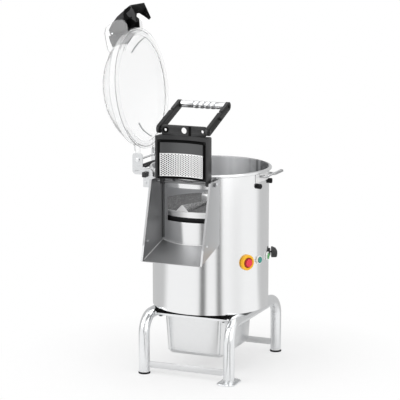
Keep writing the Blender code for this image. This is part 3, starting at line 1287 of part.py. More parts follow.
def build_hinge_bracket(root):
    """Folded bracket on the drum that holds the lid's pin, with the safety switch below it."""
    cheek = 0.003
    cheek_y = HINGE_EAR_Y + HINGE_EAR_THICKNESS + RUNNING_GAP
    back_reach = 0.023
    front_reach = 0.0205
    top_rise = 0.0255
    base_drop = 0.057
    foot_drop = 0.002
    tail_reach = 0.0206
    tail_drop = 0.105
    back_x = LID_HINGE_X - back_reach
    front_x = LID_HINGE_X + front_reach
    top_z = LID_HINGE_Z + top_rise
    base_z = LID_HINGE_Z - base_drop
    foot_top_z = DRUM_TOP_Z - 2 * BEAD_RADIUS - foot_drop
    corner = 0.010
    drum_x = -math.sqrt(DRUM_RADIUS ** 2 - cheek_y ** 2) + OVERRUN
    tail_x = -DRUM_RADIUS - tail_reach
    tail_base_z = LID_HINGE_Z - tail_drop
    outline = [(drum_x, tail_base_z), (drum_x, foot_top_z), (front_x, foot_top_z), (front_x, top_z - corner)]
    outline += arc((front_x - corner, top_z - corner), corner, 0, 90, 3)
    outline += arc((back_x + corner, top_z - corner), corner, 90, 180, 3)
    outline += [(back_x, base_z + corner), (back_x + corner, base_z), (tail_x, base_z), (tail_x, tail_base_z)]
    bracket = None
    for side, sign in (("left", -1), ("right", 1)):
        place = front_view(sign * (cheek_y + cheek / 2))
        data = outline_mesh("lid_hinge_bracket", outline, cheek, place)
        if bracket is None:
            bracket = add_part("lid_hinge_bracket", data, SATIN_STEEL, root)
            continue
        other = add_cutter("hinge_cheek_" + side, data)
        other.parent = root
        boolean(bracket, other, "UNION")
    web_z = base_z + cheek
    web_half = cheek_y + cheek / 2
    web_end_x = -DRUM_RADIUS - BEAD_REACH - cheek / 2
    for name, spans in (
            ("hinge_web", ((back_x + corner, web_end_x), (-web_half, web_half),
                           (foot_top_z, foot_top_z + cheek))),
            ("hinge_foot", ((-DRUM_RADIUS - cheek - GAP, drum_x), (-web_half, web_half),
                            (web_z, foot_top_z))),
            ("hinge_shelf", ((back_x + corner, -DRUM_RADIUS - GAP), (-web_half, web_half), (base_z, web_z)))):
        tool = add_cutter(name, box_mesh(name, *spans))
        tool.parent = root
        boolean(bracket, tool, "UNION")
    drum_space = add_cutter("bracket_drum_space", rod_mesh("bracket_drum_space", PLATE_SEAT,
                                                          (0, 0, tail_base_z - OVERRUN), (0, 0, top_z), 128))
    drum_space.parent = root
    boolean(bracket, drum_space)
    bolt_inset, bolt_rise, bolt_radius = 0.0096, 0.017, 0.005
    bolt_x, bolt_z = tail_x + bolt_inset, tail_base_z + bolt_rise
    bolt = add_cutter("bracket_bolt", rod_mesh("bracket_bolt", bolt_radius,
                                               (bolt_x, -cheek_y - cheek / 2, bolt_z),
                                               (bolt_x, -cheek_y - 2 * cheek, bolt_z)))
    bolt.parent = root
    boolean(bracket, bolt, "UNION")
    reach = cheek_y + cheek + OVERRUN
    hole = add_cutter("bracket_bore", rod_mesh("bracket_bore", HINGE_PIN_RADIUS + GAP,
                                               (LID_HINGE_X, -reach, LID_HINGE_Z),
                                               (LID_HINGE_X, reach, LID_HINGE_Z), SMALL_STEPS))
    hole.parent = root
    boolean(bracket, hole)
    head_radius = 0.0075
    head_height = 0.005
    seat = cheek_y + cheek + GAP
    points = [(0, seat + head_height), (head_radius, seat + head_height), (head_radius, seat),
              (HINGE_PIN_RADIUS, seat), (HINGE_PIN_RADIUS, -seat), (head_radius, -seat),
              (head_radius, -seat - head_height), (0, -seat - head_height)]
    along_y = Matrix.Translation((LID_HINGE_X, 0, LID_HINGE_Z)) @ Matrix.Rotation(math.radians(-90), 4, "X")
    turned_part("lid_hinge_pin", points, BRIGHT_STEEL, root, SMALL_STEPS, along_y, merge=True)
    pad_inset = 0.0012
    spans = ((back_x + 2 * corner, web_end_x - pad_inset), (-HINGE_EAR_Y, HINGE_EAR_Y),
             (foot_top_z + cheek + GAP, foot_top_z + 2 * cheek + GAP))
    add_part("hinge_rubber_pad", box_mesh("hinge_rubber_pad", *spans), BLACK_RUBBER, root)
    switch_width = 0.017
    switch_depth = 0.016
    switch_height = 0.0205
    switch_edge = 0.002
    switch_inset = 0.0016
    switch_drop = 0.0075
    switch_face = -cheek_y - cheek - GAP
    switch_x = tail_x + switch_inset
    switch_z = base_z - switch_drop
    spans = ((switch_x, switch_x + switch_width), (switch_face - switch_depth, switch_face),
             (switch_z, switch_z + switch_height))
    switch = add_part("safety_switch", box_mesh("safety_switch", *spans), BLACK_PLASTIC, root)
    bevel(switch, switch_edge, 1)


def build_controls(root):
    """Emergency stop, two push buttons, the timer knob and the box behind them."""
    seat = DRUM_RADIUS + GAP
    shroud_radius, shroud_height, shroud_edge = 0.030, 0.0115, 0.005
    floor_height, head_clearance = 0.003, 0.001
    travel = 0.004
    bore = STEM_RADIUS + RUNNING_GAP
    head_radius, head_edge = 0.0185, 0.005
    head_height = 0.0105
    mouth = head_radius + head_clearance
    rim = seat + shroud_height
    floor = seat + floor_height
    edge = arc((shroud_radius - shroud_edge, rim - shroud_edge), shroud_edge, 90, 0, 3)
    points = [(bore, seat), (bore, floor), (mouth, floor), (mouth, rim)] + edge + [(shroud_radius, seat)]
    turned_part("estop_base", points, YELLOW_PLASTIC, root, 20, radial(ESTOP_ANGLE, CONTROLS_Z))
    head_start = floor + travel + RUNNING_GAP
    head_end = head_start + head_height
    stem_depth = 0.0085
    stem_end = DRUM_RADIUS - stem_depth
    crown = arc((head_radius - head_edge, head_end - head_edge), head_edge, 90, 0, 3)
    points = [(0, head_end)] + crown + [(head_radius, head_start), (STEM_RADIUS, head_start),
                                        (STEM_RADIUS, stem_end),
                                        (0, stem_end)]
    press = button_pivot("estop_press", ESTOP_ANGLE, root)
    turned_part("estop_mushroom", points, RED_PLASTIC, press, 18, radial(ESTOP_ANGLE, CONTROLS_Z), merge=True)
    ring_radius, ring_bore, ring_height = 0.0165, 0.0120, 0.0062
    cap_proud, cap_edge = 0.003, 0.001
    ring_end = seat + ring_height
    cap_end = ring_end + cap_proud
    cap_start = seat + travel
    cap_radius = ring_bore - RUNNING_GAP
    buttons = (("start_button", START_ANGLE, WHITE_PLASTIC, TEAL_PLASTIC),
               ("second_button", SECOND_ANGLE, WHITE_PLASTIC, GREEN_PLASTIC))
    for name, angle, ring_finish, cap_finish in buttons:
        place = radial(angle, CONTROLS_Z)
        turned_part(name + "_ring", ring_points(ring_bore, ring_radius, seat, ring_end), ring_finish, root,
                    18, place)
        points = [(0, cap_end), (cap_radius - cap_edge, cap_end), (cap_radius, cap_end - cap_edge),
                  (cap_radius, cap_start), (STEM_RADIUS, cap_start), (STEM_RADIUS, stem_end), (0, stem_end)]
        press = button_pivot(name + "_press", angle, root)
        turned_part(name + "_cap", points, cap_finish, press, SMALL_STEPS, place, merge=True)
    flange_radius, flange_height = 0.0155, 0.0065
    place = radial(TIMER_ANGLE, CONTROLS_Z)
    flange = ring_points(bore, flange_radius, seat, seat + flange_height)
    turned_part("timer_flange", flange, BLACK_PLASTIC, root, 16, place)
    knob_radius, knob_edge = 0.022, 0.008
    knob_gap, knob_height = 0.0039, 0.0229
    knob_start = seat + flange_height + knob_gap
    knob_end = knob_start + knob_height
    crown = arc((knob_radius - knob_edge, knob_end - knob_edge), knob_edge, 90, 0, 4)
    points = [(0, knob_end)] + crown + [(knob_radius, knob_start), (STEM_RADIUS, knob_start),
                                        (STEM_RADIUS, stem_end), (0, stem_end)]
    turn = button_pivot("timer_turn", TIMER_ANGLE, root)
    turned_part("timer_knob", points, BLACK_PLASTIC, turn, 16, place, merge=True)
    box_clearance = 0.0038
    box_depth = 0.040
    box_front, box_back = -0.100, 0.060
    box_rise = 0.048
    box_top = CONTROLS_Z + box_rise
    box_outer = math.sqrt((DRUM_RADIUS - DRUM_WALL - box_clearance) ** 2 - box_front ** 2)
    spans = ((box_outer - box_depth, box_outer), (box_front, box_back),
             (DRIVE_PLATE_Z + DRIVE_PLATE_THICKNESS + GAP, box_top))
    bevel(add_part("control_box", box_mesh("control_box", *spans), GREY_PAINT, root), 0.003, 1)


def button_pivot(name, angle, root):
    """A pivot on the drum's wall on a control's own axis."""
    turn = math.radians(angle)
    return add_pivot(name, (DRUM_RADIUS * math.cos(turn), DRUM_RADIUS * math.sin(turn), CONTROLS_Z), root)


def part_bounds():
    """World bounds of every part, as the viewport evaluates it."""
    bpy.context.view_layer.update()
    graph = bpy.context.evaluated_depsgraph_get()
    low, high = Vector((math.inf,) * 3), Vector((-math.inf,) * 3)
    for item in PARTS.objects:
        if item.type != "MESH":
            continue
        shown = item.evaluated_get(graph)
        for vertex in shown.data.vertices:
            point = shown.matrix_world @ vertex.co
            low = Vector(map(min, low, point))
            high = Vector(map(max, high, point))
    return low, high


def build():
    """Build every group, open the lid and the door, and centre the part over its own base."""
    root = add_pivot("machine", (0, 0, 0))
    build_stand(root)
    build_pan_and_runners(root)
    build_drum(root)
    spindle, rotor = build_drive(root)
    build_disc(spindle)
    build_chute(root)
    door = build_door(root)
    build_lever(door)
    lid = build_lid(root)
    build_latch(lid)
    build_latch_block(lid)
    build_catch(root)
    build_hinge_bracket(root)
    build_controls(root)
    door.rotation_euler.x = DOOR_OPEN_TURN
    lid.rotation_euler.y = LID_OPEN_TURN
    low, high = part_bounds()
    root.location = (-(low.x + high.x) / 2, -(low.y + high.y) / 2, -low.z)
    bpy.context.view_layer.update()
    for item in PARTS.objects:
        if item.type == "EMPTY":
            print("pivot", item.name, [round(value, 6) for value in item.matrix_world.translation])


build()
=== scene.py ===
"""Looks of an electric potato peeler: finishes, fine shapes, studio and camera."""

import json
import math

import bmesh
import bpy
from mathutils import Matrix, Vector


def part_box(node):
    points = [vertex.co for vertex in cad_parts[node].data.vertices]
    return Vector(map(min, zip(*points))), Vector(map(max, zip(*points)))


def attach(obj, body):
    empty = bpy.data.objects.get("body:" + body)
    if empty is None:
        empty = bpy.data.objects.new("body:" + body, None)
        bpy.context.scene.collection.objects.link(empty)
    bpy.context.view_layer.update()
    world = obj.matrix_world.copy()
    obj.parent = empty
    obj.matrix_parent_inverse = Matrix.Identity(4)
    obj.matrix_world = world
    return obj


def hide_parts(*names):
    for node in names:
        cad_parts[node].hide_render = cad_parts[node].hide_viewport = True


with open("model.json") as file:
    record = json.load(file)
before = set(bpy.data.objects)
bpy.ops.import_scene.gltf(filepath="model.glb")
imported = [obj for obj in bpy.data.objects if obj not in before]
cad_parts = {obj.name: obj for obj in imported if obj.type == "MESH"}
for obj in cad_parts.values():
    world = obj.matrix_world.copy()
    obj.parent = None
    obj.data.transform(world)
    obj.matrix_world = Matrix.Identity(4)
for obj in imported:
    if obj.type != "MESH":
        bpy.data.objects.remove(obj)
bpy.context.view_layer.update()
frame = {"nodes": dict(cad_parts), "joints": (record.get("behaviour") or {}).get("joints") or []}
NODES = frame["nodes"]
JOINTS = {joint["name"]: joint for joint in frame["joints"]}
SHAPES = bpy.data.collections.new("fine_shapes")
bpy.context.scene.collection.children.link(SHAPES)


def box_corners(name):
    """Low and high corner of a CAD node's box."""
    low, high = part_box(name)
    return Vector(low), Vector(high)


# Places read from the frame
DRUM_LOW, DRUM_HIGH = box_corners("drum_shell")
AXIS = Vector(((DRUM_LOW.x + DRUM_HIGH.x) / 2, (DRUM_LOW.y + DRUM_HIGH.y) / 2, 0))
RIM_Z = DRUM_HIGH.z
DISC_TOP = JOINTS["disc_spin"]["pos_m"][2]
CONTROLS_Z = JOINTS["timer_turn"]["pos_m"][2]
LID_HINGE = Vector(JOINTS["lid_hinge"]["pos_m"])
DOOR_HINGE = Vector(JOINTS["door_hinge"]["pos_m"])
HOOD_LOW, HOOD_HIGH = box_corners("latch_hood")
GRIP_LOW, GRIP_HIGH = box_corners("lever_grip")
GRIP_MIDDLE = (GRIP_LOW + GRIP_HIGH) / 2
GRIP_RADIUS = (GRIP_HIGH.z - GRIP_LOW.z) / 2
CHUTE_LOW, CHUTE_HIGH = box_corners("discharge_chute")

# Points that faces look towards, for the finishes with painted shade on those faces: insides of hollows, and the
# lever arms' right-facing side
DRUM_MIDDLE = AXIS + Vector((0, 0, 0.5))
CHUTE_MIDDLE = Vector((AXIS.x, (CHUTE_LOW.y + DRUM_LOW.y) / 2 - 0.01, CHUTE_HIGH.z - 0.06))
HOOD_HOLLOW = (HOOD_LOW + HOOD_HIGH) / 2 + Vector((0.5, 0, -0.2))
# Painted shade: the lever arms' faces that look towards this far point are deep black
LEVER_RIGHT = AXIS + Vector((5.0, 0, 1.0))

# Camera on a long lens, placed from the drum's axis at the floor
CAMERA_OFFSET = Vector((2.65174, -6.29131, 1.93801))
CAMERA_TURN = (math.radians(79.30), 0, math.radians(23.2))
CAMERA_LENS = 162.0
CAMERA_SENSOR = 36.0

# Studio: the floor's shadow fades out between two distances from the axis, and so does its dark reflection
FLOOR_RADIUS = 14.0
SHADOW_NEAR = 0.45
SHADOW_FAR = 0.85
SHADOW_LIFT = 0.55
FLOOR_COLOUR = (0.93, 0.93, 0.93)
WHITE_LIGHT = (1, 1, 1, 1)
MIRROR_NEAR = 0.30
MIRROR_FAR = 0.70
STUDIO_LEVEL = 0.62
LAMP_TARGET = Vector((0, 0, 0.6))
# Lamps: name, place from the axis, size, power
LAMPS = (
    ("key_lamp", (-1.9, -2.6, 2.9), 3.2, 55),
    ("fill_lamp", (2.9, -1.7, 1.7), 3.0, 24),
    ("top_lamp", (0.2, 0.3, 3.2), 3.0, 30),
)
# Studio walls as metal sees them: compass angle from +Y towards +X, half width, softness, brightness left
STUDIO_GAPS = (
    (171.5, 2.6, 5.0, 0.16),
    (141.5, 2.0, 5.0, 0.20),
    (-28.0, 74.0, 14.0, 0.60),
    (108.0, 3.0, 14.0, 0.90),
)
# Painted reflection: upright dark bands inside the drum: compass angle from +Y towards +X, half width, softness,
# tone left
PAINTED_REFLECTION_BANDS = (
    (32.0, 1.4, 1.2, 0.50),
    (49.0, 10.0, 2.5, 0.42),
    (19.0, 12.0, 12.0, 0.76),
    (21.0, 0.8, 1.2, 0.86),
    (-2.0, 1.0, 2.0, 0.92),
    (150.0, 4.0, 6.0, 0.80),
    (-120.0, 3.0, 6.0, 0.85),
)

# Base colours
STEEL = (0.88, 0.885, 0.89)
# Grey of the painted shade in the grip's hollows
HOLLOW_SHADE_GREY = (0.42, 0.43, 0.45)
CHROME = (0.86, 0.87, 0.88)
BLACK = (0.022, 0.022, 0.023)
HOOD_BLACK = (0.030, 0.030, 0.031)
RUBBER = (0.008, 0.008, 0.009)
DEEP_BLACK = (0.003, 0.003, 0.003)
GRIT = (0.30, 0.301, 0.303)
BARE_EDGE = (0.97, 0.97, 0.97)
DUST = (0.45, 0.44, 0.42)
YELLOW = (1.0, 0.52, 0.010)
RED = (0.86, 0.03, 0.07)
# Red of the stop button's flank in painted shade
SHADED_STOP_RED = (0.36, 0.012, 0.008)
TEAL = (0.035, 0.30, 0.25)
GREEN = (0.10, 0.40, 0.12)
WHITE = (0.86, 0.86, 0.85)
MOTOR_GREY = (0.16, 0.18, 0.21)

# Fineness of a metal's grain along X, Y and Z
ROUND_GRAIN = (9.0, 9.0, 1400.0)
TUBE_GRAIN = (14.0, 500.0, 14.0)
SHEET_GRAIN = (12.0, 500.0, 500.0)
BAR_GRAIN = (300.0, 300.0, 300.0)
CHROME_GRAIN = (40.0, 40.0, 40.0)


def new_group(name, inputs, outputs):
    """Start a shader node group with named sockets: (name, kind, value)."""
    tree = bpy.data.node_groups.new(name, "ShaderNodeTree")
    for label, kind, value in inputs:
        socket = tree.interface.new_socket(label, in_out="INPUT", socket_type="NodeSocket" + kind)
        socket.default_value = value
    for label, kind in outputs:
        tree.interface.new_socket(label, in_out="OUTPUT", socket_type="NodeSocket" + kind)
    return tree, tree.nodes.new("NodeGroupInput"), tree.nodes.new("NodeGroupOutput")


def put(tree, kind, **settings):
    """Add a node and set its properties."""
    node = tree.nodes.new("ShaderNode" + kind)
    for label, value in settings.items():
        setattr(node, label, value)
    return node


def feed(tree, node, **values):
    """Set or link a node's inputs, by name with underscores for spaces, or by number as n0, n1 and so on."""
    for label, value in values.items():
        name = label.replace("_", " ")
        by_number = name[0] == "n" and name[1:].isdigit()
        socket = node.inputs[int(name[1:]) if by_number else name]
        if isinstance(value, bpy.types.NodeSocket):
            tree.links.new(value, socket)
        else:
            socket.default_value = value
    return node


def noise(tree, vector, scale, detail=3.0, roughness=0.5):
    """Noise texture fed by a vector; returns its value socket."""
    node = put(tree, "TexNoise")
    feed(tree, node, Vector=vector, Scale=scale, Detail=detail, Roughness=roughness)
    return node.outputs["Fac"]


def vector_calc(tree, operation, first, second=None, output=0):
    """One operation on vectors; output "Value" gives a length or a dot product."""
    node = put(tree, "VectorMath", operation=operation)
    feed(tree, node, n0=first)
    if second is not None:
        feed(tree, node, n1=second)
    return node.outputs[output]


def stretch(tree, vector, scale):
    """Scale a vector by three factors."""
    return vector_calc(tree, "MULTIPLY", vector, scale)


def object_place(tree):
    """The point being shaded, in the object's own coordinates."""
    return put(tree, "TexCoord").outputs["Object"]


def from_centre(tree, given):
    """Vector to the point being shaded from a group's centre."""
    return vector_calc(tree, "SUBTRACT", object_place(tree), given.outputs["Centre"])


def facing(tree, direction):
    """How far the surface faces along a direction."""
    return vector_calc(tree, "DOT_PRODUCT", put(tree, "TexCoord").outputs["Normal"], direction, "Value")


def remap(tree, value, low, high, start, end):
    """Map a value from one range to another, clamped."""
    node = put(tree, "MapRange")
    feed(tree, node, Value=value, From_Min=low, From_Max=high, To_Min=start, To_Max=end)
    return node.outputs["Result"]


def calc(tree, operation, first, second):
    """One operation on two values."""
    node = put(tree, "Math", operation=operation)
    feed(tree, node, n0=first, n1=second)
    return node.outputs[0]


def grey(tree, tone):
    """A value as a grey colour."""
    node = put(tree, "CombineXYZ")
    feed(tree, node, X=tone, Y=tone, Z=tone)
    return node.outputs[0]


def mix_colour(tree, factor, first, second, blend="MIX"):
    """Mix two colours."""
    node = put(tree, "MixRGB", blend_type=blend)
    feed(tree, node, Fac=factor, Color1=first, Color2=second)
    return node.outputs[0]


def brushed_group():
    """Fine parallel grain left by polishing, with slow patches and faint smudges."""
    tree, given, out = new_group(
        "brushed_grain",
        (("Grain", "Vector", (1, 1, 1)), ("Colour", "Color", (1, 1, 1, 1)), ("Roughness", "Float", 0.25),
         ("Spread", "Float", 0.08), ("Smudge", "Float", 0.06)),
        (("Colour", "Color"), ("Roughness", "Float"), ("Height", "Float")))
    place = object_place(tree)
    grain_place = stretch(tree, place, given.outputs["Grain"])
    fine = noise(tree, grain_place, 1.0, 4.0, 0.65)
    coarse = noise(tree, stretch(tree, grain_place, (0.21, 0.21, 0.21)), 1.0, 2.0)
    smudge = remap(tree, noise(tree, place, 9.0, 4.0, 0.6), 0.48, 0.72, 0.0, 1.0)
    grain = calc(tree, "ADD", calc(tree, "MULTIPLY", fine, 0.85), calc(tree, "MULTIPLY", coarse, 0.15))
    swing = calc(tree, "MULTIPLY", calc(tree, "SUBTRACT", grain, 0.5), given.outputs["Spread"])
    rough = calc(tree, "ADD", given.outputs["Roughness"], swing)
    rough = calc(tree, "ADD", rough, calc(tree, "MULTIPLY", smudge, given.outputs["Smudge"]))
    shade = remap(tree, grain, 0.25, 0.75, 0.965, 1.02)
    colour = mix_colour(tree, 1.0, given.outputs["Colour"], grey(tree, shade), "MULTIPLY")
    feed(tree, out, Colour=colour, Roughness=rough, Height=grain)
    return tree


def moulded_group():
    """Spark-eroded skin of moulded plastic, with dust in patches."""
    tree, given, out = new_group(
        "moulded_skin",
        (("Colour", "Color", (1, 1, 1, 1)), ("Roughness", "Float", 0.4), ("Pebble Scale", "Float", 900.0),
         ("Dust", "Float", 0.05)),
        (("Colour", "Color"), ("Roughness", "Float"), ("Height", "Float")))
    place = object_place(tree)
    pebble = noise(tree, place, given.outputs["Pebble Scale"], 2.0)
    patches = noise(tree, place, 22.0, 4.0, 0.6)
    dust = calc(tree, "MULTIPLY", remap(tree, patches, 0.45, 0.75, 0.0, 1.0), given.outputs["Dust"])
    colour = mix_colour(tree, dust, given.outputs["Colour"], (*DUST, 1))
    swing = calc(tree, "MULTIPLY", calc(tree, "SUBTRACT", patches, 0.5), 0.18)
    rough = calc(tree, "ADD", given.outputs["Roughness"], swing)
    feed(tree, out, Colour=colour, Roughness=rough, Height=pebble)
    return tree


def edge_group():
    """Mask of edges, from how sharply the surface turns: worn edges, and painted edge highlight."""
    tree, given, out = new_group("edge_wear_and_highlight", (("Spread", "Float", 0.5),), (("Mask", "Float"),))
    pointiness = put(tree, "NewGeometry").outputs["Pointiness"]
    patches = noise(tree, object_place(tree), 60.0, 3.0)
    edge = calc(tree, "MULTIPLY", remap(tree, pointiness, 0.505, 0.56, 0.0, 1.0), patches)
    feed(tree, out, Mask=calc(tree, "MULTIPLY", edge, given.outputs["Spread"]))
    return tree


def inside_group():
    """Mask of the faces that look towards a point, such as the inside of a drum or a chute, for painted shade.
    """
    tree, given, out = new_group("inside_faces", (("Centre", "Vector", (0, 0, 0)),), (("Mask", "Float"),))
    feed(tree, out, Mask=calc(tree, "LESS_THAN", facing(tree, from_centre(tree, given)), 0.0))
    return tree


def outward_group():
    """Mask of the faces that look away from an upright axis through a point."""
    tree, given, out = new_group("outward_faces", (("Centre", "Vector", (0, 0, 0)),), (("Mask", "Float"),))
    level = stretch(tree, from_centre(tree, given), (1, 1, 0))
    outward = facing(tree, vector_calc(tree, "NORMALIZE", level))
    feed(tree, out, Mask=remap(tree, outward, 0.55, 0.75, 0.0, 1.0))
    return tree


def wrapped_angle(tree, turn, centre):
    """A compass angle less a centre in degrees, wrapped to half a turn either way."""
    shifted = calc(tree, "SUBTRACT", turn, math.radians(centre))
    node = put(tree, "Math", operation="WRAP")
    feed(tree, node, n0=shifted, n1=-math.pi, n2=math.pi)
    return node.outputs[0]


def tone_bands(tree, direction, bands):
    """Tone by compass angle: 1, and less within each band of (centre, half width, softness, tone left)."""
    split = put(tree, "SeparateXYZ")
    feed(tree, split, n0=direction)
    turn = calc(tree, "ARCTAN2", split.outputs["X"], split.outputs["Y"])
    tone = None
    for centre, half_width, soft, left in bands:
        away = put(tree, "Math", operation="ABSOLUTE")
        feed(tree, away, n0=wrapped_angle(tree, turn, centre))
        near, far = math.radians(half_width), math.radians(half_width + soft)
        band = remap(tree, away.outputs[0], near, far, left, 1.0)
        tone = band if tone is None else calc(tree, "MULTIPLY", tone, band)
    return grey(tree, tone)


def painted_bands_group():
    """Tone of the painted reflection bands round an upright axis."""
    tree, given, out = new_group("painted_reflection_band_tone", (("Centre", "Vector", (0, 0, 0)),), (("Colour", "Color"),))
    feed(tree, out, Colour=tone_bands(tree, from_centre(tree, given), PAINTED_REFLECTION_BANDS))
    return tree


def hollow_group():
    """Mask of the hollows of a turned piece that lies along X, for painted shade: how near the surface is to its
    axis.
    """
    tree, given, out = new_group(
        "turned_hollows",
        (("Centre", "Vector", (0, 0, 0)), ("Deep", "Float", 0.01), ("Shallow", "Float", 0.02)),
        (("Mask", "Float"),))
    across = stretch(tree, from_centre(tree, given), (0, 1, 1))
    reach = vector_calc(tree, "LENGTH", across, output="Value")
    feed(tree, out, Mask=remap(tree, reach, given.outputs["Deep"], given.outputs["Shallow"], 1.0, 0.0))
    return tree


def walls_group():
    """How bright the studio is in a direction: white in front, paler behind, with narrow dark gaps in front."""
    tree, given, out = new_group("studio_walls", (("Direction", "Vector", (0, 0, 0)),), (("Colour", "Color"),))
    feed(tree, out, Colour=tone_bands(tree, given.outputs["Direction"], STUDIO_GAPS))
    return tree


INSIDE = inside_group()
OUTWARD = outward_group()
PAINTED_BANDS = painted_bands_group()
HOLLOWS = hollow_group()
BRUSHED = brushed_group()
MOULDED = moulded_group()
EDGES = edge_group()
WALLS = walls_group()


def start_material(name, base, roughness, metallic):
    """A material with a Principled shader and its uniform values set on it."""
    skin = bpy.data.materials.new(name)
    skin.use_nodes = True
    tree = skin.node_tree
    shader = tree.nodes["Principled BSDF"]
    shader.inputs["Base Color"].default_value = (*base, 1)
    shader.inputs["Roughness"].default_value = roughness
    shader.inputs["Metallic"].default_value = metallic
    return skin, tree, shader


def place_group(tree, group, **values):
    """Put a node group in a material with its own values."""
    node = tree.nodes.new("ShaderNodeGroup")
    node.node_tree = group
    return feed(tree, node, **values)


def add_bump(tree, shader, height, distance):
    """Feed a height into the shader's normal."""
    bump = put(tree, "Bump")
    feed(tree, bump, Height=height, Distance=distance, Strength=1.0)
    tree.links.new(bump.outputs["Normal"], shader.inputs["Normal"])


def brushed_metal(name, base, roughness, grain, spread=0.08, depth=0.00002, smudge=0.05,
                  inside=None, hollows=None):
    """Metal whose grain has a fineness along each axis.

    inside is (centre, colour, roughness, with_painted_bands), for painted shade on the inside, with painted
    reflection bands if asked.
    hollows is (centre, deep, shallow), for painted shade in the hollows of a turned piece.
    """
    skin, tree, shader = start_material(name, base, roughness, 1.0)
    colour, rough = (*base, 1), roughness
    # Painted shade: faces that look towards the centre take the darker inside colour
    if inside:
        centre, dull, dull_roughness, with_painted_bands = inside
        mask = place_group(tree, INSIDE, Centre=centre).outputs["Mask"]
        dull = (*dull, 1)
        # Painted reflection: dark upright bands multiplied into the inside colour
        if with_painted_bands:
            band_tone = place_group(tree, PAINTED_BANDS, Centre=centre).outputs["Colour"]
            dull = mix_colour(tree, 1.0, dull, band_tone, "MULTIPLY")
        colour = mix_colour(tree, mask, colour, dull)
        rough = remap(tree, mask, 0.0, 1.0, roughness, dull_roughness)
    # Painted shade: darker in the hollows, nearest the axis
    if hollows:
        centre, deep, shallow = hollows
        mask = place_group(tree, HOLLOWS, Centre=centre, Deep=deep, Shallow=shallow).outputs["Mask"]
        colour = mix_colour(tree, mask, colour, (*HOLLOW_SHADE_GREY, 1))
    look = place_group(tree, BRUSHED, Grain=grain, Colour=colour, Roughness=rough, Spread=spread,
                       Smudge=smudge)
    feed(tree, shader, Base_Color=look.outputs["Colour"], Roughness=look.outputs["Roughness"])
    add_bump(tree, shader, look.outputs["Height"], depth)
    return skin


def moulded_plastic(name, base, roughness, pebble=900.0, dust=0.04, depth=0.00003, wear_and_highlight=0.0, gloss=0.5,
                    inside=None):
    """Injection-moulded plastic or rubber, and if asked with painted shade: deep black on the faces that look
    towards a point, such as a hollow's middle.
    """
    skin, tree, shader = start_material(name, base, roughness, 0.0)
    shader.inputs["Specular IOR Level"].default_value = gloss
    look = place_group(tree, MOULDED, Colour=(*base, 1), Roughness=roughness, Pebble_Scale=pebble, Dust=dust)
    colour = look.outputs["Colour"]
    # Worn edges and painted edge highlight: lighter where the surface turns sharply
    if wear_and_highlight:
        edge = place_group(tree, EDGES, Spread=wear_and_highlight)
        lighter = tuple(min(1.0, channel + 0.12) for channel in base)
        colour = mix_colour(tree, edge.outputs["Mask"], colour, (*lighter, 1))
    # Painted shade: faces that look towards the given point are deep black
    if inside:
        mask = place_group(tree, INSIDE, Centre=inside).outputs["Mask"]
        colour = mix_colour(tree, mask, colour, (*DEEP_BLACK, 1))
    feed(tree, shader, Base_Color=colour, Roughness=look.outputs["Roughness"])
    add_bump(tree, shader, look.outputs["Height"], depth)
    return skin


def clear_plastic():
    """Thick clear polycarbonate with faint wiping marks."""
    skin, tree, shader = start_material("clear_polycarbonate", (0.996, 0.998, 1.0), 0.03, 0.0)
    shader.inputs["Transmission Weight"].default_value = 0.86
    shader.inputs["IOR"].default_value = 1.12
    marks = noise(tree, stretch(tree, object_place(tree), (3.0, 3.0, 40.0)), 6.0, 5.0, 0.7)
    feed(tree, shader, Roughness=remap(tree, marks, 0.5, 0.8, 0.01, 0.05))
    return skin


def abrasive():
    """Grit bonded on the disc, with painted light on its ridges, and bare metal round its edge."""
    skin, tree, shader = start_material("abrasive_grit", GRIT, 0.85, 0.0)
    place = object_place(tree)
    grains = put(tree, "TexVoronoi")
    feed(tree, grains, Vector=place, Scale=185.0)
    grain = grains.outputs["Distance"]
    patches = noise(tree, place, 30.0, 4.0, 0.6)
    tone = remap(tree, grain, 0.10, 0.55, 1.40, 0.50)
    tone = calc(tree, "MULTIPLY", tone, remap(tree, patches, 0.3, 0.7, 0.86, 1.12))
    # Painted light: the grit is paler the higher it stands above the disc, so the ridges read as lit
    height = put(tree, "SeparateXYZ")
    feed(tree, height, n0=place)
    painted_ridge_light = remap(tree, height.outputs["Z"], DISC_TOP + 0.001, DISC_TOP + 0.012, 0.72, 1.6)
    tone = calc(tree, "MULTIPLY", tone, painted_ridge_light)
    grit = mix_colour(tree, 1.0, (*GRIT, 1), grey(tree, tone), "MULTIPLY")
    edge = place_group(tree, OUTWARD, Centre=AXIS).outputs["Mask"]
    feed(tree, shader, Base_Color=mix_colour(tree, edge, grit, (*BARE_EDGE, 1)), Metallic=edge,
         Roughness=remap(tree, edge, 0.0, 1.0, 0.85, 0.45))
    add_bump(tree, shader, calc(tree, "MULTIPLY", grain, calc(tree, "SUBTRACT", 1.0, edge)), 0.0008)
    return skin


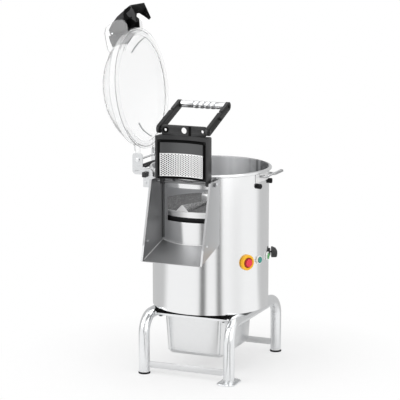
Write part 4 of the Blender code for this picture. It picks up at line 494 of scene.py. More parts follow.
def metal_finishes():
    """Every metal by the finish it stands for."""
    return {
        # The darker inside colours of the drum and the chute are painted shade; the drum's also carries painted
        # reflection bands
        "shell": brushed_metal("brushed_drum_steel", STEEL, 0.17, ROUND_GRAIN, 0.05, 0.000004, 0.02,
                               inside=(DRUM_MIDDLE, (0.47, 0.475, 0.485), 0.46, True)),
        "tube": brushed_metal("polished_tube_steel", CHROME, 0.20, TUBE_GRAIN, 0.03, 0.000002, 0.02),
        "sheet": brushed_metal("satin_sheet_steel", (0.72, 0.73, 0.74), 0.26, SHEET_GRAIN, 0.06, 0.00001),
        "chute": brushed_metal("scuffed_chute_steel_shaded_inside", (0.56, 0.565, 0.57), 0.40, SHEET_GRAIN, 0.06, 0.00001,
                               0.04, inside=(CHUTE_MIDDLE, (0.38, 0.382, 0.388), 0.48, False)),
        "pan": brushed_metal("pressed_pan_steel", (0.80, 0.805, 0.81), 0.20, (300.0, 300.0, 60.0), 0.04,
                             0.000006, 0.02),
        "flat": brushed_metal("mill_flat_steel", (0.76, 0.765, 0.77), 0.30, (20.0, 400.0, 400.0), 0.05),
        "chrome": brushed_metal("bright_chrome", CHROME, 0.38, CHROME_GRAIN, 0.02, 0.000003),
        "grip": brushed_metal("bright_grip_chrome", (0.80, 0.805, 0.81), 0.30, CHROME_GRAIN, 0.02, 0.000003,
                              0.02, hollows=(GRIP_MIDDLE, GRIP_RADIUS - 0.0030, GRIP_RADIUS - 0.0012)),
        "dull": brushed_metal("dull_bar_steel", (0.50, 0.505, 0.51), 0.30, BAR_GRAIN, 0.06, 0.000008),
        "pin": brushed_metal("dark_pin_steel", (0.25, 0.252, 0.256), 0.45, BAR_GRAIN, 0.06, 0.000008),
        "plate": brushed_metal("pale_plate_steel", (0.93, 0.93, 0.93), 0.55, (12.0, 12.0, 500.0), 0.06,
                               0.000006),
        "cast": brushed_metal("machined_aluminium", (0.70, 0.70, 0.71), 0.33, (200.0, 200.0, 900.0), 0.12),
        "insert": brushed_metal("bright_insert_steel", (0.98, 0.98, 0.98), 0.52, (30.0, 30.0, 700.0), 0.05,
                                0.000004),
        "blank": brushed_metal("dark_insert_steel_and_painted_shade", (0.115, 0.116, 0.118), 0.38, (30.0, 30.0, 500.0), 0.16,
                               0.00004),
    }


def moulded_finishes():
    """Every plastic and rubber by the finish it stands for."""
    moulded = moulded_plastic
    return {
        "black": moulded("black_moulding", BLACK, 0.42, 1100.0, 0.02, 0.00002, 0.25, 0.32),
        # Deep black on the hood's inner faces and on the arms' right-facing faces is painted shade
        "hood": moulded("black_hood_moulding", HOOD_BLACK, 0.50, 1100.0, 0.02, 0.00002, 0.25, 0.24, HOOD_HOLLOW),
        "arm": moulded("black_arm_moulding", BLACK, 0.42, 1100.0, 0.02, 0.00002, 0.25, 0.30, LEVER_RIGHT),
        # The deep finish is black rubber for the seal, and also the black of the sheets of painted shade and
        # shadow
        "deep": moulded("sooty_rubber_and_painted_shade", DEEP_BLACK, 0.75, 1500.0, 0.004, 0.00002, 0.0, 0.1),
        "rubber": moulded("black_rubber", RUBBER, 0.62, 1500.0, 0.012, 0.00002, 0.0, 0.2),
        "rib": moulded("milky_rib", (0.42, 0.43, 0.44), 0.3, 900.0, 0.02),
        "yellow": moulded("yellow_stop_plate", YELLOW, 0.38, 900.0, 0.02),
        "red": moulded("red_stop_button", RED, 0.24, 1200.0, 0.0, 0.00001),
        # Dark red of the stop button's flank: painted shade
        "painted_shade_red": moulded("stop_flank_painted_shade", SHADED_STOP_RED, 0.45, 1200.0, 0.0, 0.00001),
        "teal": moulded("teal_button", TEAL, 0.25, 1200.0, 0.0, 0.00001),
        "green": moulded("green_button", GREEN, 0.25, 1200.0, 0.0, 0.00001),
        "white": moulded("white_ring", WHITE, 0.35, 1000.0, 0.02),
        "enamel": moulded("motor_enamel", MOTOR_GREY, 0.42, 700.0, 0.05),
    }


FINISHES = {**metal_finishes(), **moulded_finishes(), "grit": abrasive(), "clear": clear_plastic()}
NODE_FINISHES = {
    "shell": "drum_shell",
    "tube": "side_frame_left side_frame_right anchor_foot_plate lid_hinge_pin latch_pin"
            " upper_crossbar_front upper_crossbar_rear drive_shaft motor_shaft",
    "chute": "discharge_chute",
    "sheet": "pan_runner_left pan_runner_right chamber_floor waste_pipe lid_hinge_bracket drive_plate",
    "pan": "waste_pan",
    "flat": "lower_crossbar_front lower_crossbar_rear",
    "chrome": "lever_grip",
    "dull": "catch_loop",
    "pin": "door_hinge_pin",
    "plate": "catch_plate",
    "cast": "bearing_housing large_pulley motor_pulley lower_bearing upper_bearing",
    "insert": "perforated_insert",
    # base_plate: dark as painted shade under the drum
    "blank": "blank_panel base_plate",
    "arm": "lever_arm_left lever_arm_right",
    "black": "door_frame lock_bar latch_block timer_flange timer_knob safety_switch",
    "hood": "latch_hood",
    "deep": "door_seal",
    "rubber": "foot_cap_front_left foot_cap_rear_left foot_cap_rear_right drive_belt disc_skirt"
              " catch_stud_front catch_stud_rear hinge_rubber_pad",
    "grit": "peeling_disc",
    "clear": "lid_dome",
    "yellow": "estop_base",
    "red": "estop_mushroom",
    "teal": "start_button_cap",
    "green": "second_button_cap",
    "white": "start_button_ring second_button_ring",
    "enamel": "motor control_box",
}
# Width of the rounded edges of the CAD nodes, by finish
NODE_EDGES = {"black": 0.0008, "arm": 0.0008, "hood": 0.0008, "flat": 0.0005, "tube": 0.0005,
              "enamel": 0.0015, "rubber": 0.0005}

# How refine rounds and shades: angles in degrees, lengths in metres
SMOOTH_ANGLE = 32
EDGE_ANGLE = 50
EDGE_SEGMENTS = 2
WELD_DISTANCE = 0.00001


def smooth_group(angle):
    """Geometry nodes that shade a surface smooth but keep edges sharper than an angle."""
    tree = bpy.data.node_groups.new("smooth_by_angle", "GeometryNodeTree")
    tree.interface.new_socket("Geometry", in_out="INPUT", socket_type="NodeSocketGeometry")
    tree.interface.new_socket("Geometry", in_out="OUTPUT", socket_type="NodeSocketGeometry")
    given, out = tree.nodes.new("NodeGroupInput"), tree.nodes.new("NodeGroupOutput")
    faces = tree.nodes.new("GeometryNodeSetShadeSmooth")
    edges = tree.nodes.new("GeometryNodeSetShadeSmooth")
    edges.domain = "EDGE"
    turn = tree.nodes.new("GeometryNodeInputMeshEdgeAngle")
    compare = tree.nodes.new("FunctionNodeCompare")
    compare.operation = "LESS_THAN"
    compare.inputs["B"].default_value = math.radians(angle)
    tree.links.new(given.outputs[0], faces.inputs["Geometry"])
    tree.links.new(faces.outputs[0], edges.inputs["Geometry"])
    tree.links.new(turn.outputs["Unsigned Angle"], compare.inputs["A"])
    tree.links.new(compare.outputs["Result"], edges.inputs["Shade Smooth"])
    tree.links.new(edges.outputs[0], out.inputs[0])
    return tree


SMOOTH = smooth_group(SMOOTH_ANGLE)


def refine(item, edge):
    """Weld a solid's corners, round its edges and shade it smooth, without touching its mesh."""
    weld = item.modifiers.new("weld", "WELD")
    weld.merge_threshold = WELD_DISTANCE
    if edge:
        step = item.modifiers.new("edges", "BEVEL")
        step.width = edge
        step.segments = EDGE_SEGMENTS
        step.limit_method = "ANGLE"
        step.angle_limit = math.radians(EDGE_ANGLE)
        step.use_clamp_overlap = True
    shade = item.modifiers.new("smooth", "NODES")
    shade.node_group = SMOOTH


def dress_nodes():
    """Give every CAD node its finish and soft edges."""
    for finish, names in NODE_FINISHES.items():
        for name in names.split():
            item = NODES[name]
            item.data.materials.clear()
            item.data.materials.append(FINISHES[finish])
            refine(item, NODE_EDGES.get(finish, 0.0))


# Sizes of the fine shapes in metres, from the same driving sizes as the part
DRUM_RADIUS = 0.225
TUBE_BEND = 0.068
ANCHOR_TOP = 0.0053
CAP_TOP = 0.0073

# Perforated insert: pitch of the holes across and round the drum
INSERT_RADIUS = 0.2235
INSERT_SHEET = 0.002
HOLE_PITCH = Vector((0.0076, 0.0067))
HOLE_RADIUS = 0.0026
HOLE_SIDES = 12

# Grip: a plain stretch at its left end, then lobes with a waist between them
GRIP_PLAIN = 0.052
GRIP_PITCH = 0.023
GRIP_LOBES = 4
GRIP_WAIST = 0.0116
GRIP_STEP = 0.0013
GRIP_CHAMFER = 0.002
GRIP_FADE = 0.003
LOBE_STEPS = 10
LOBE_FULLNESS = 0.7

# Controls: radii, and heights above the seat just clear of the drum
SEAT = DRUM_RADIUS + 0.0003
STEM = 0.0030
STEM_END = SEAT - 0.0085
STEM_CLEARANCE = 0.0005
STOP_RADIUS = 0.030
STOP_MOUTH = 0.0195
STOP_HEIGHT = 0.0115
STOP_FLOOR = 0.003
STOP_ROUNDING = 0.0055
HEAD_RADIUS = 0.0146
HEAD_LIFT = 0.0045
HEAD_HEIGHT = 0.0105
RING_RADIUS = 0.0165
RING_BORE = 0.0120
RING_HEIGHT = 0.0062
CAP_RADIUS = 0.0115
CAP_RISE = 0.003
CAP_SEAT = 0.004
FLANGE_RADIUS = 0.0155
FLANGE_HEIGHT = 0.0065
KNOB_RADIUS = 0.022
KNOB_GAP = 0.0039
KNOB_HEIGHT = 0.0229
KNOB_STEPS = 72
KNOB_FLUTES = 12
FLUTE_DEPTH = 0.0007
KNOB_SLANT = 0.72
KNOB_STRAIGHT = 0.006

TURN_STEPS = 64
ALL_ROUND = 2 * math.pi
ROUND_X = Matrix.Rotation(math.radians(90), 4, "X")
ROUND_Y = Matrix.Rotation(math.radians(90), 4, "Y")


def mesh_from(name, points, faces):
    """Mesh of points and faces, with its faces turned outwards."""
    data = bpy.data.meshes.new(name)
    data.from_pydata([tuple(point) for point in points], [], faces)
    shape = bmesh.new()
    shape.from_mesh(data)
    bmesh.ops.remove_doubles(shape, verts=shape.verts, dist=WELD_DISTANCE / 10)
    bmesh.ops.recalc_face_normals(shape, faces=shape.faces)
    shape.to_mesh(data)
    shape.free()
    return data


def lathe(name, profile, place, steps=TURN_STEPS, closed=False, reshape=None):
    """Turn a line of (radius, height) points round a local Z axis.

    reshape(turn, radius, height) gives the local x and y of a point that isn't plainly turned.
    """
    points, faces = [], []
    count = len(profile)
    for step in range(steps):
        turn = ALL_ROUND * step / steps
        for radius, height in profile:
            if reshape:
                x, y = reshape(turn, radius, height)
            else:
                x, y = radius * math.cos(turn), radius * math.sin(turn)
            points.append(place @ Vector((x, y, height)))
    for step in range(steps):
        here, there = step * count, (step + 1) % steps * count
        for index in range(count if closed else count - 1):
            after = (index + 1) % count
            corners = [here + index, there + index, there + after, here + after]
            if profile[index][0] == 0:
                corners = [here + index, there + after, here + after]
            elif profile[after][0] == 0:
                corners = [here + index, there + index, here + after]
            faces.append(corners)
    return mesh_from(name, points, faces)


def bend(centre, radius, start, end, steps):
    """Points of an arc in a plane, with angles in degrees."""
    angles = [math.radians(start + (end - start) * step / steps) for step in range(steps + 1)]
    return [(centre[0] + radius * math.cos(a), centre[1] + radius * math.sin(a)) for a in angles]


def rounded(radius, top, edge, steps=8):
    """Corner of a turned profile, rounded over from its flat top to its side."""
    return bend((radius - edge, top - edge), edge, 90, 0, steps)


def rectangle(left, right, low, high):
    """Corners of an upright rectangle in a plane."""
    return [Vector(corner) for corner in ((left, low), (right, low), (right, high), (left, high))]


def round_bar(name, route, radius, across, sides=40):
    """Round bar along points that lie in one plane, whose normal is given."""
    points, faces = [], []
    last = len(route) - 1
    for index, point in enumerate(route):
        along = (route[min(index + 1, last)] - route[max(index - 1, 0)]).normalized()
        beside = across.cross(along)
        for side in range(sides):
            turn = ALL_ROUND * side / sides
            points.append(point + radius * (math.cos(turn) * across + math.sin(turn) * beside))
    for index in range(last):
        here, there = index * sides, (index + 1) * sides
        for side in range(sides):
            after = (side + 1) % sides
            faces.append((here + side, here + after, there + after, there + side))
    faces += [tuple(range(sides)), tuple(last * sides + side for side in range(sides))]
    return mesh_from(name, points, faces)


def add_fine(data, finish, slot, body, *nodes, edge=0.0):
    """Put a fine piece on its body, in place of CAD nodes where any are named."""
    item = bpy.data.objects.new(data.name, data)
    SHAPES.objects.link(item)
    data.materials.append(FINISHES[finish])
    refine(item, edge)
    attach(item, body)
    if nodes:
        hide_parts(*nodes)
    return item


def build_tubes():
    """Side frames as smooth bent tubes."""
    for side, front_z in (("left", CAP_TOP), ("right", ANCHOR_TOP)):
        low, high = box_corners("side_frame_" + side)
        radius = (high.x - low.x) / 2
        x, front, rear, rail = low.x + radius, low.y + radius, high.y - radius, high.z - radius
        corners = bend((front + TUBE_BEND, rail - TUBE_BEND), TUBE_BEND, 180, 90, 20)
        corners += bend((rear - TUBE_BEND, rail - TUBE_BEND), TUBE_BEND, 90, 0, 20)
        route = [Vector((x, y, z)) for y, z in [(front, front_z)] + corners + [(rear, CAP_TOP)]]
        data = round_bar("bent_tube_" + side, route, radius, Vector((1, 0, 0)))
        add_fine(data, "tube", "bright_steel", "frame", "side_frame_" + side)


def insert_cell(centre, half):
    """Outline and hole of one cell of the perforated sheet: matching points round its edge and its hole."""
    edge, hole = [], []
    for side in range(HOLE_SIDES):
        turn = ALL_ROUND * (side + 0.5) / HOLE_SIDES
        ray = Vector((math.cos(turn), math.sin(turn)))
        reach = max(abs(ray.x), abs(ray.y))
        edge.append(centre + Vector((ray.x / reach * half.x, ray.y / reach * half.y)))
        hole.append(centre + ray * HOLE_RADIUS)
    return edge, hole


def insert_layout(half_width, half_height):
    """Faces and wall lines of the perforated sheet laid flat: staggered holes within plain borders."""
    columns, rows = int(2 * half_width / HOLE_PITCH.x), int(2 * half_height / HOLE_PITCH.y)
    half = HOLE_PITCH / 2
    left, bottom = -columns * half.x, -rows * half.y
    flats, walls = [], []
    for row in range(rows):
        y = bottom + (row + 0.5) * HOLE_PITCH.y
        shift = half.x if row % 2 else 0
        for column in range(columns - 1 if shift else columns):
            x = left + shift + (column + 0.5) * HOLE_PITCH.x
            edge, hole = insert_cell(Vector((x, y)), half)
            for side in range(HOLE_SIDES):
                after = (side + 1) % HOLE_SIDES
                flats.append((edge[side], edge[after], hole[after], hole[side]))
                walls.append((hole[side], hole[after]))
        for sign in (-1, 1):
            flats.append(rectangle(sign * half_width, sign * (-left - shift), y - half.y, y + half.y))
    ends = [-half_height, *(bottom + row * HOLE_PITCH.y for row in range(rows + 1)), half_height]
    for sign in (-1, 1):
        flats.append(rectangle(-half_width, half_width, sign * half_height, -sign * bottom))
        border = [Vector((sign * half_width, end)) for end in ends]
        walls += zip(border, border[1:])
        walls.append((Vector((-half_width, sign * half_height)), Vector((half_width, sign * half_height))))
    return flats, walls


def build_insert():
    """Curved steel insert of the open door with staggered round holes through it."""
    low, high = box_corners("perforated_insert")
    middle_z = (low.z + high.z) / 2
    axis_y = 2 * DOOR_HINGE.y - AXIS.y
    half_height = math.asin((high.x - low.x) / 2 / INSERT_RADIUS) * INSERT_RADIUS
    flats, walls = insert_layout((high.z - low.z) / 2, half_height)
    points, faces = [], []

    def curve(point, depth):
        """Bend a point of the flat layout round the drum and add it."""
        turn = point.y / INSERT_RADIUS
        radius = INSERT_RADIUS - depth
        x, y = AXIS.x + radius * math.sin(turn), axis_y + radius * math.cos(turn)
        points.append(Vector((x, y, middle_z - point.x)))
        return len(points) - 1

    for depth in (0, INSERT_SHEET):
        faces += [[curve(corner, depth) for corner in corners] for corners in flats]
    for first, second in walls:
        faces.append([curve(first, 0), curve(second, 0), curve(second, INSERT_SHEET),
                      curve(first, INSERT_SHEET)])
    add_fine(mesh_from("perforated_sheet", points, faces), "insert", "satin_steel", "door",
             "perforated_insert")


def build_grip():
    """Chrome grip with finger lobes, plain at its left end."""
    half = (GRIP_HIGH.x - GRIP_LOW.x) / 2
    plain = GRIP_RADIUS - GRIP_STEP
    start = -half + GRIP_PLAIN
    end = start + GRIP_LOBES * GRIP_PITCH
    profile = [(0, -half), (plain - GRIP_CHAMFER, -half), (plain, -half + GRIP_CHAMFER),
               (plain, start - GRIP_FADE)]
    for step in range(GRIP_LOBES * LOBE_STEPS + 1):
        swell = math.sin(math.pi * (step % LOBE_STEPS) / LOBE_STEPS) ** LOBE_FULLNESS
        radius = GRIP_WAIST + (GRIP_RADIUS - GRIP_WAIST) * swell
        profile.append((radius, start + GRIP_PITCH * step / LOBE_STEPS))
    profile += [(plain, end + GRIP_FADE), (plain, half - GRIP_CHAMFER), (plain - GRIP_CHAMFER, half), (0, half)]
    place = Matrix.Translation(GRIP_MIDDLE) @ ROUND_Y
    add_fine(lathe("lobed_grip", profile, place, 48), "grip", "chrome", "lever", "lever_grip")


def radial(angle, height):
    """Place whose Z axis points out of the drum at an angle from +X in degrees."""
    turn = Matrix.Rotation(math.radians(angle), 4, "Z")
    return Matrix.Translation(AXIS + Vector((0, 0, height))) @ turn @ ROUND_Y


def joint_place(name):
    """Place on the drum at which a control's joint stands."""
    across, along, _ = JOINTS[name]["axis"]
    turn = math.degrees(math.atan2(along, across))
    return radial(turn if JOINTS[name]["type"] == "hinge" else turn + 180, CONTROLS_Z)


def build_stop():
    """Emergency stop: a yellow shroud and a red head whose flank is dark red as painted shade."""
    place = joint_place("estop_press")
    rim, floor = SEAT + STOP_HEIGHT, SEAT + STOP_FLOOR
    bore = STEM + STEM_CLEARANCE
    shroud = [(bore, SEAT), (bore, floor), (STOP_MOUTH, floor), (STOP_MOUTH, rim - 0.001),
              (STOP_MOUTH + 0.001, rim), *rounded(STOP_RADIUS, rim, STOP_ROUNDING), (STOP_RADIUS, SEAT)]
    add_fine(lathe("stop_shroud", shroud, place, closed=True), "yellow", "yellow_plastic", "frame",
             "estop_base")
    base = floor + HEAD_LIFT
    top = base + HEAD_HEIGHT
    head = [(0, top - 0.0012), (0.008, top - 0.001), (0.0110, top - 0.0002),
            *rounded(HEAD_RADIUS, top, 0.0020), (HEAD_RADIUS, base), (STEM, base), (STEM, STEM_END),
            (0, STEM_END)]
    add_fine(lathe("stop_button", head, place), "red", "red_plastic", "estop_button", "estop_mushroom")
    # Painted shade: the flank of the head is a dark red copy of the red
    flank = [(0.0148, base), (0.0148, top - 0.0026), (0.0152, top - 0.0018), (0.0180, base + 0.0050),
             (0.0185, base + 0.0036), (0.0185, base)]
    add_fine(lathe("stop_button_flank", flank, place, closed=True), "painted_shade_red", "red_plastic", "estop_button")


def build_buttons():
    """Start and second buttons, each a cap in a white ring."""
    ring_top = SEAT + RING_HEIGHT
    cap_top = ring_top + CAP_RISE
    ring = [(RING_BORE, SEAT), (RING_BORE, ring_top - 0.001), (0.0128, ring_top),
            *rounded(RING_RADIUS, ring_top, 0.0016), (RING_RADIUS, SEAT)]
    cap = [(0, cap_top - 0.0009), (0.006, cap_top - 0.0006), (0.0095, cap_top),
           *rounded(CAP_RADIUS, cap_top, 0.0012), (CAP_RADIUS, SEAT + CAP_SEAT), (STEM, SEAT + CAP_SEAT),
           (STEM, STEM_END), (0, STEM_END)]
    for name, press, colour in (("start_button", "start_press", "teal"),
                                ("second_button", "second_press", "green")):
        place = joint_place(press)
        add_fine(lathe(name + "_bezel", ring, place, closed=True), "white", "white_plastic", "frame",
                 name + "_ring")
        add_fine(lathe(name + "_face", cap, place, 48), colour, colour + "_plastic", name, name + "_cap")


def build_timer():
    """Timer: a collar, a fluted knob whose top slants away on one side, and a white pointer."""
    place = joint_place("timer_turn")
    flange_top = SEAT + FLANGE_HEIGHT
    bore = STEM + STEM_CLEARANCE
    flange = [(bore, SEAT), (bore, flange_top), (0.0140, flange_top), (FLANGE_RADIUS, flange_top - 0.002),
              (FLANGE_RADIUS, SEAT)]
    add_fine(lathe("timer_collar", flange, place, closed=True), "black", "black_plastic", "frame",
             "timer_flange")
    start = flange_top + KNOB_GAP
    top = start + KNOB_HEIGHT
    slant_start = start + KNOB_STRAIGHT

    def knob_point(turn, radius, height):
        """Flutes round the knob's side, and a side that leans in towards its top."""
        if 0.019 < radius and start < height < top - 0.003:
            radius -= FLUTE_DEPTH * (1 - math.cos(KNOB_FLUTES * turn)) / 2
        share = max(0.0, (height - slant_start) / (top - slant_start))
        lean = 1 - KNOB_SLANT * share ** 2 if math.cos(turn) < 0 else 1
        return radius * lean * math.cos(turn), radius * math.sin(turn)

    knob = [(0, top), *rounded(KNOB_RADIUS, top, 0.007, 6), (KNOB_RADIUS, start + 0.004), (0.0215, start),
            (0.0125, start), (STEM, start), (STEM, STEM_END), (0, STEM_END)]
    add_fine(lathe("timer_grip_knob", knob, place, KNOB_STEPS, reshape=knob_point), "black",
             "black_plastic", "timer", "timer_knob")
    mark = rectangle(-0.0008, 0.0008, 0.004, 0.0135)
    corners = [place @ Vector((x, y, top + lift)) for lift in (-0.0004, 0.0001) for x, y in mark]
    sides = [(0, 1, 2, 3), (4, 5, 6, 7)] + [(i, (i + 1) % 4, (i + 1) % 4 + 4, i + 4) for i in range(4)]
    add_fine(mesh_from("timer_pointer", corners, sides), "white", "white_plastic", "timer")


# Screws: name, place from the axis and height of those on the chute; angle and height of the catch plate's
CHUTE_SCREWS = (("upper", -0.2338, 0.7562), ("lower", -0.3270, 0.5386))
CHUTE_SCREW_HEAD = 0.0045
CATCH_SCREW = (-4.6, 0.7607)
CATCH_SCREW_HEAD = 0.0048

# Dome of the lid as the part draws it closed, and how far it stands open in degrees
DOME_HEIGHT, DOME_SHOULDER, DOME_SHOULDER_RISE, DOME_WALL = 0.140, 0.222, 0.035, 0.0035
DOME_RISE = DOME_HEIGHT - DOME_SHOULDER_RISE
DOME_RADIUS = (DOME_SHOULDER ** 2 + DOME_RISE ** 2) / (2 * DOME_RISE)
DOME_INNER = DOME_RADIUS - DOME_WALL
DOME_CENTRE = RIM_Z + 0.0005 + DOME_HEIGHT - DOME_RADIUS
LID_OPEN = -97
# Ribs inside the dome: name, start and end across, start along, bow, lean, half width
DOME_RIBS = (
    ("front", 0.134, 0.190, 0.101, -0.003, 0.020, 0.0026),
    ("rear", -0.143, -0.200, 0.090, -0.007, 0.001, 0.0015),
)
RIB_STEPS = 12
RIB_SUNK = 0.0003
RIB_DEPTH = 0.0055

# Door: lip of the seal, and trim of the lock bar
LIP_WIDTH = 0.0045
LIP_THICKNESS = 0.0008
LIP_STEPS = 40
DOOR_FACE = DRUM_RADIUS + 0.0045
BAR_FACE = DRUM_RADIUS + 0.0026
LOCK_HOLE = Vector((-0.0722, 0.9540))
BAR_RIB_X = 0.0254
BAR_RIB_HALF = 0.004

# Chute: a point on its sloping floor, half the distance between the side plates, and the welds
CHUTE_FLOOR = Vector((-0.040, -0.154, 0.5200))
CHUTE_SLOPE = math.radians(15)
CHUTE_INNER = 0.1156
CHUTE_BACK = AXIS.y - math.sqrt(DRUM_RADIUS ** 2 - CHUTE_INNER ** 2)
WELD_RADIUS = 0.0012
WELD_LIFT = WELD_RADIUS * 0.4
WELD_STEPS = 32
WELD_SIDES = 10

# How far below the drum the black sheets of painted shadow over the front crossbar reach
BASE_DEPTH = 0.0150

# Latch hood seen from its side: the line of its mouth and the outline of the painted shadow on its side
HOOD_MOUTH = ((-0.2325, 1.3890), (-0.2275, 1.3774), (-0.2317, 1.3585))
HOOD_SHADOW_OUTLINE = [(-0.3381, 1.3556), (-0.3334, 1.3760), (-0.3153, 1.3860), (-0.3042, 1.3860), (-0.3114, 1.3731),
               (-0.3261, 1.3612), (-0.3188, 1.3507), (-0.3098, 1.3458), (-0.3034, 1.3500), (-0.2998, 1.3437),
               (-0.3100, 1.3400), (-0.3236, 1.3405), (-0.3337, 1.3426)]
HOOD_SKIN = 0.0003


def add_screw(name, place, head, finish="chrome"):
    """Button-head screw with a socket, standing on a surface whose outward side is the place's Z axis."""
    height = 0.42 * head
    socket = 0.45 * head
    profile = [(0, height * 0.35), (socket, height * 0.35), (socket, height * 0.93),
               (0.62 * head, height * 0.86), (0.85 * head, height * 0.62), (head, height * 0.18),
               (head, -0.0001), (0, -0.0001)]
    add_fine(lathe(name, profile, place, 24), finish, "bright_steel", "frame")


def build_screws():
    """Screws on the chute's sides and on the catch plate."""
    for name, y, z in CHUTE_SCREWS:
        for side, x, turn in (("right", CHUTE_HIGH.x, ROUND_Y), ("left", CHUTE_LOW.x, ROUND_Y.inverted())):
            place = Matrix.Translation((x, AXIS.y + y, z)) @ turn
            add_screw("chute_" + name + "_screw_" + side, place, CHUTE_SCREW_HEAD)
    seat = box_corners("catch_plate")[1].x - AXIS.x + 0.0002
    add_screw("catch_plate_screw", radial(*CATCH_SCREW) @ Matrix.Translation((0, 0, seat)), CATCH_SCREW_HEAD,
              "blank")


def build_lid_ribs():
    """Two short ribs moulded inside the dome."""
    turn = Matrix.Rotation(math.radians(LID_OPEN), 4, "Y")
    place = Matrix.Translation(LID_HINGE) @ turn @ Matrix.Translation(AXIS - LID_HINGE)
    for name, start_x, end_x, start_y, bow, lean, half in DOME_RIBS:
        section = ((-half, -RIB_SUNK), (-0.8 * half, RIB_DEPTH), (0.8 * half, RIB_DEPTH), (half, -RIB_SUNK))
        points, faces = [], []
        for step in range(RIB_STEPS + 1):
            share = step / RIB_STEPS
            x = start_x + (end_x - start_x) * share
            y = start_y + lean * share + bow * math.sin(math.pi * share)
            dome = DOME_CENTRE + math.sqrt(DOME_INNER ** 2 - x * x - y * y)
            points += [place @ Vector((x, y + aside, dome - drop)) for aside, drop in section]
        for step in range(RIB_STEPS):
            here, there = 4 * step, 4 * step + 4
            for side in range(4):
                after = (side + 1) % 4
                faces.append((here + side, here + after, there + after, there + side))
        faces += [(0, 1, 2, 3), tuple(4 * RIB_STEPS + side for side in range(4))]
        add_fine(mesh_from("dome_rib_" + name, points, faces), "rib", "clear_plastic", "lid")


def slab(name, outline, place, bottom, top):
    """Flat piece with an outline of (x, y) points, from a bottom to a top along the place's Z axis."""
    shape = bmesh.new()
    corners = [shape.verts.new(place @ Vector((x, y, bottom))) for x, y in outline]
    edges = [shape.edges.new(pair) for pair in zip(corners, corners[1:] + corners[:1])]
    bmesh.ops.triangle_fill(shape, use_beauty=True, use_dissolve=False, edges=edges)
    painted_ridge_light = bmesh.ops.extrude_face_region(shape, geom=shape.faces[:])
    upper = [item for item in painted_ridge_light["geom"] if isinstance(item, bmesh.types.BMVert)]
    bmesh.ops.translate(shape, verts=upper, vec=place.to_3x3() @ Vector((0, 0, top - bottom)))
    bmesh.ops.recalc_face_normals(shape, faces=shape.faces)
    data = bpy.data.meshes.new(name)
    shape.to_mesh(data)
    shape.free()
    return data


def thicken(item, thickness):
    """Give a single-layer piece its thickness, half to each side."""
    shell = item.modifiers.new("thickness", "SOLIDIFY")
    shell.thickness = thickness
    shell.offset = 0.0


def build_seal_lip():
    """Thin black lip of the door's seal, lying on the frame's hollow face round the insert."""
    low, high = box_corners("door_seal")
    inner = (high.x - low.x) / 2
    outer = inner + LIP_WIDTH
    around = 2 * DOOR_HINGE.y - AXIS.y
    across = [-outer, *(-inner + 2 * inner * step / LIP_STEPS for step in range(LIP_STEPS + 1)), outer]
    up = [low.z - LIP_WIDTH, low.z, high.z, high.z + LIP_WIDTH]
    points = [Vector((AXIS.x + x, around + math.sqrt(DOOR_FACE ** 2 - x ** 2), z)) for z in up for x in across]
    faces = []
    for row in range(3):
        for column in range(LIP_STEPS + 2):
            if row != 1 or column in (0, LIP_STEPS + 1):
                corner = row * len(across) + column
                faces.append((corner, corner + 1, corner + 1 + len(across), corner + len(across)))
    lip = add_fine(mesh_from("seal_lip", points, faces), "deep", "black_rubber", "door")
    thicken(lip, LIP_THICKNESS)


def build_lock_bar_trim():
    """Black ring round the lock bar's left hole and the rib across its face."""
    low, high = box_corners("lock_bar")
    face_y = 2 * DOOR_HINGE.y - AXIS.y + BAR_FACE
    ring = [(0.0052, 0), (0.0052, 0.002), (0.0060, 0.0028), (0.0105, 0.0028), (0.0115, 0.0018), (0.0115, 0)]
    place = Matrix.Translation((AXIS.x + LOCK_HOLE.x, face_y, LOCK_HOLE.y)) @ ROUND_X
    add_fine(lathe("lock_hole_ring", ring, place, closed=True), "deep", "black_rubber", "door")
    half = (high.z - low.z) / 2 - 0.001
    outline = rectangle(-BAR_RIB_HALF, BAR_RIB_HALF, -half, half)
    place = Matrix.Translation((AXIS.x + BAR_RIB_X, face_y, (low.z + high.z) / 2)) @ ROUND_X
    add_fine(slab("lock_bar_rib", outline, place, -0.0005, 0.0032), "deep", "black_plastic", "door", edge=0.0006)


def build_base_strips():
    """Black sheets of painted shadow between the drum and the front crossbar, behind the bar and on its front.
    """
    low, high = box_corners("upper_crossbar_front")
    for name, reach, drop, y in (("base_painted_shadow", 0.153, 0.0005, high.y + 0.0014),
                                 ("base_painted_shadow_front", 0.146, 0.0105, low.y + 0.0002)):
        outline = rectangle(-reach, reach, DRUM_LOW.z - BASE_DEPTH, DRUM_LOW.z - drop)
        place = Matrix.Translation((AXIS.x, y, 0)) @ ROUND_X
        add_fine(slab(name, outline, place, 0, 0.001), "deep", "black_rubber", "frame")


def build_chute_corner():
    """Dark strip of painted shadow in the chute's left corner, where the side plate meets the drum."""
    outline = [(-0.530, CHUTE_BACK - 0.001), (-0.530, CHUTE_BACK - 0.007), (-0.757, CHUTE_BACK - 0.007),
               (-0.757, CHUTE_BACK - 0.001)]
    place = Matrix.Translation((AXIS.x - CHUTE_INNER, 0, 0)) @ ROUND_Y
    add_fine(slab("chute_corner_painted_shadow", outline, place, 0, 0.0008), "blank", "satin_steel", "frame")


def build_hood_trim():
    """Painted shade on the latch hood: a black patch on its side, and a black sheet across its mouth."""
    place = Matrix.Translation((AXIS.x, HOOD_LOW.y + 0.0001, 0)) @ ROUND_X
    add_fine(slab("hood_side_painted_shadow", HOOD_SHADOW_OUTLINE, place, 0, HOOD_SKIN), "deep", "black_plastic", "latch")
    sides = (HOOD_LOW.y + 0.0015, HOOD_HIGH.y - 0.0080)
    points = [Vector((x, y, z)) for x, z in HOOD_MOUTH for y in sides]
    mouth = mesh_from("hood_mouth_painted_shade", points, [(0, 1, 3, 2), (2, 3, 5, 4)])
    thicken(add_fine(mouth, "deep", "black_plastic", "latch"), HOOD_SKIN)


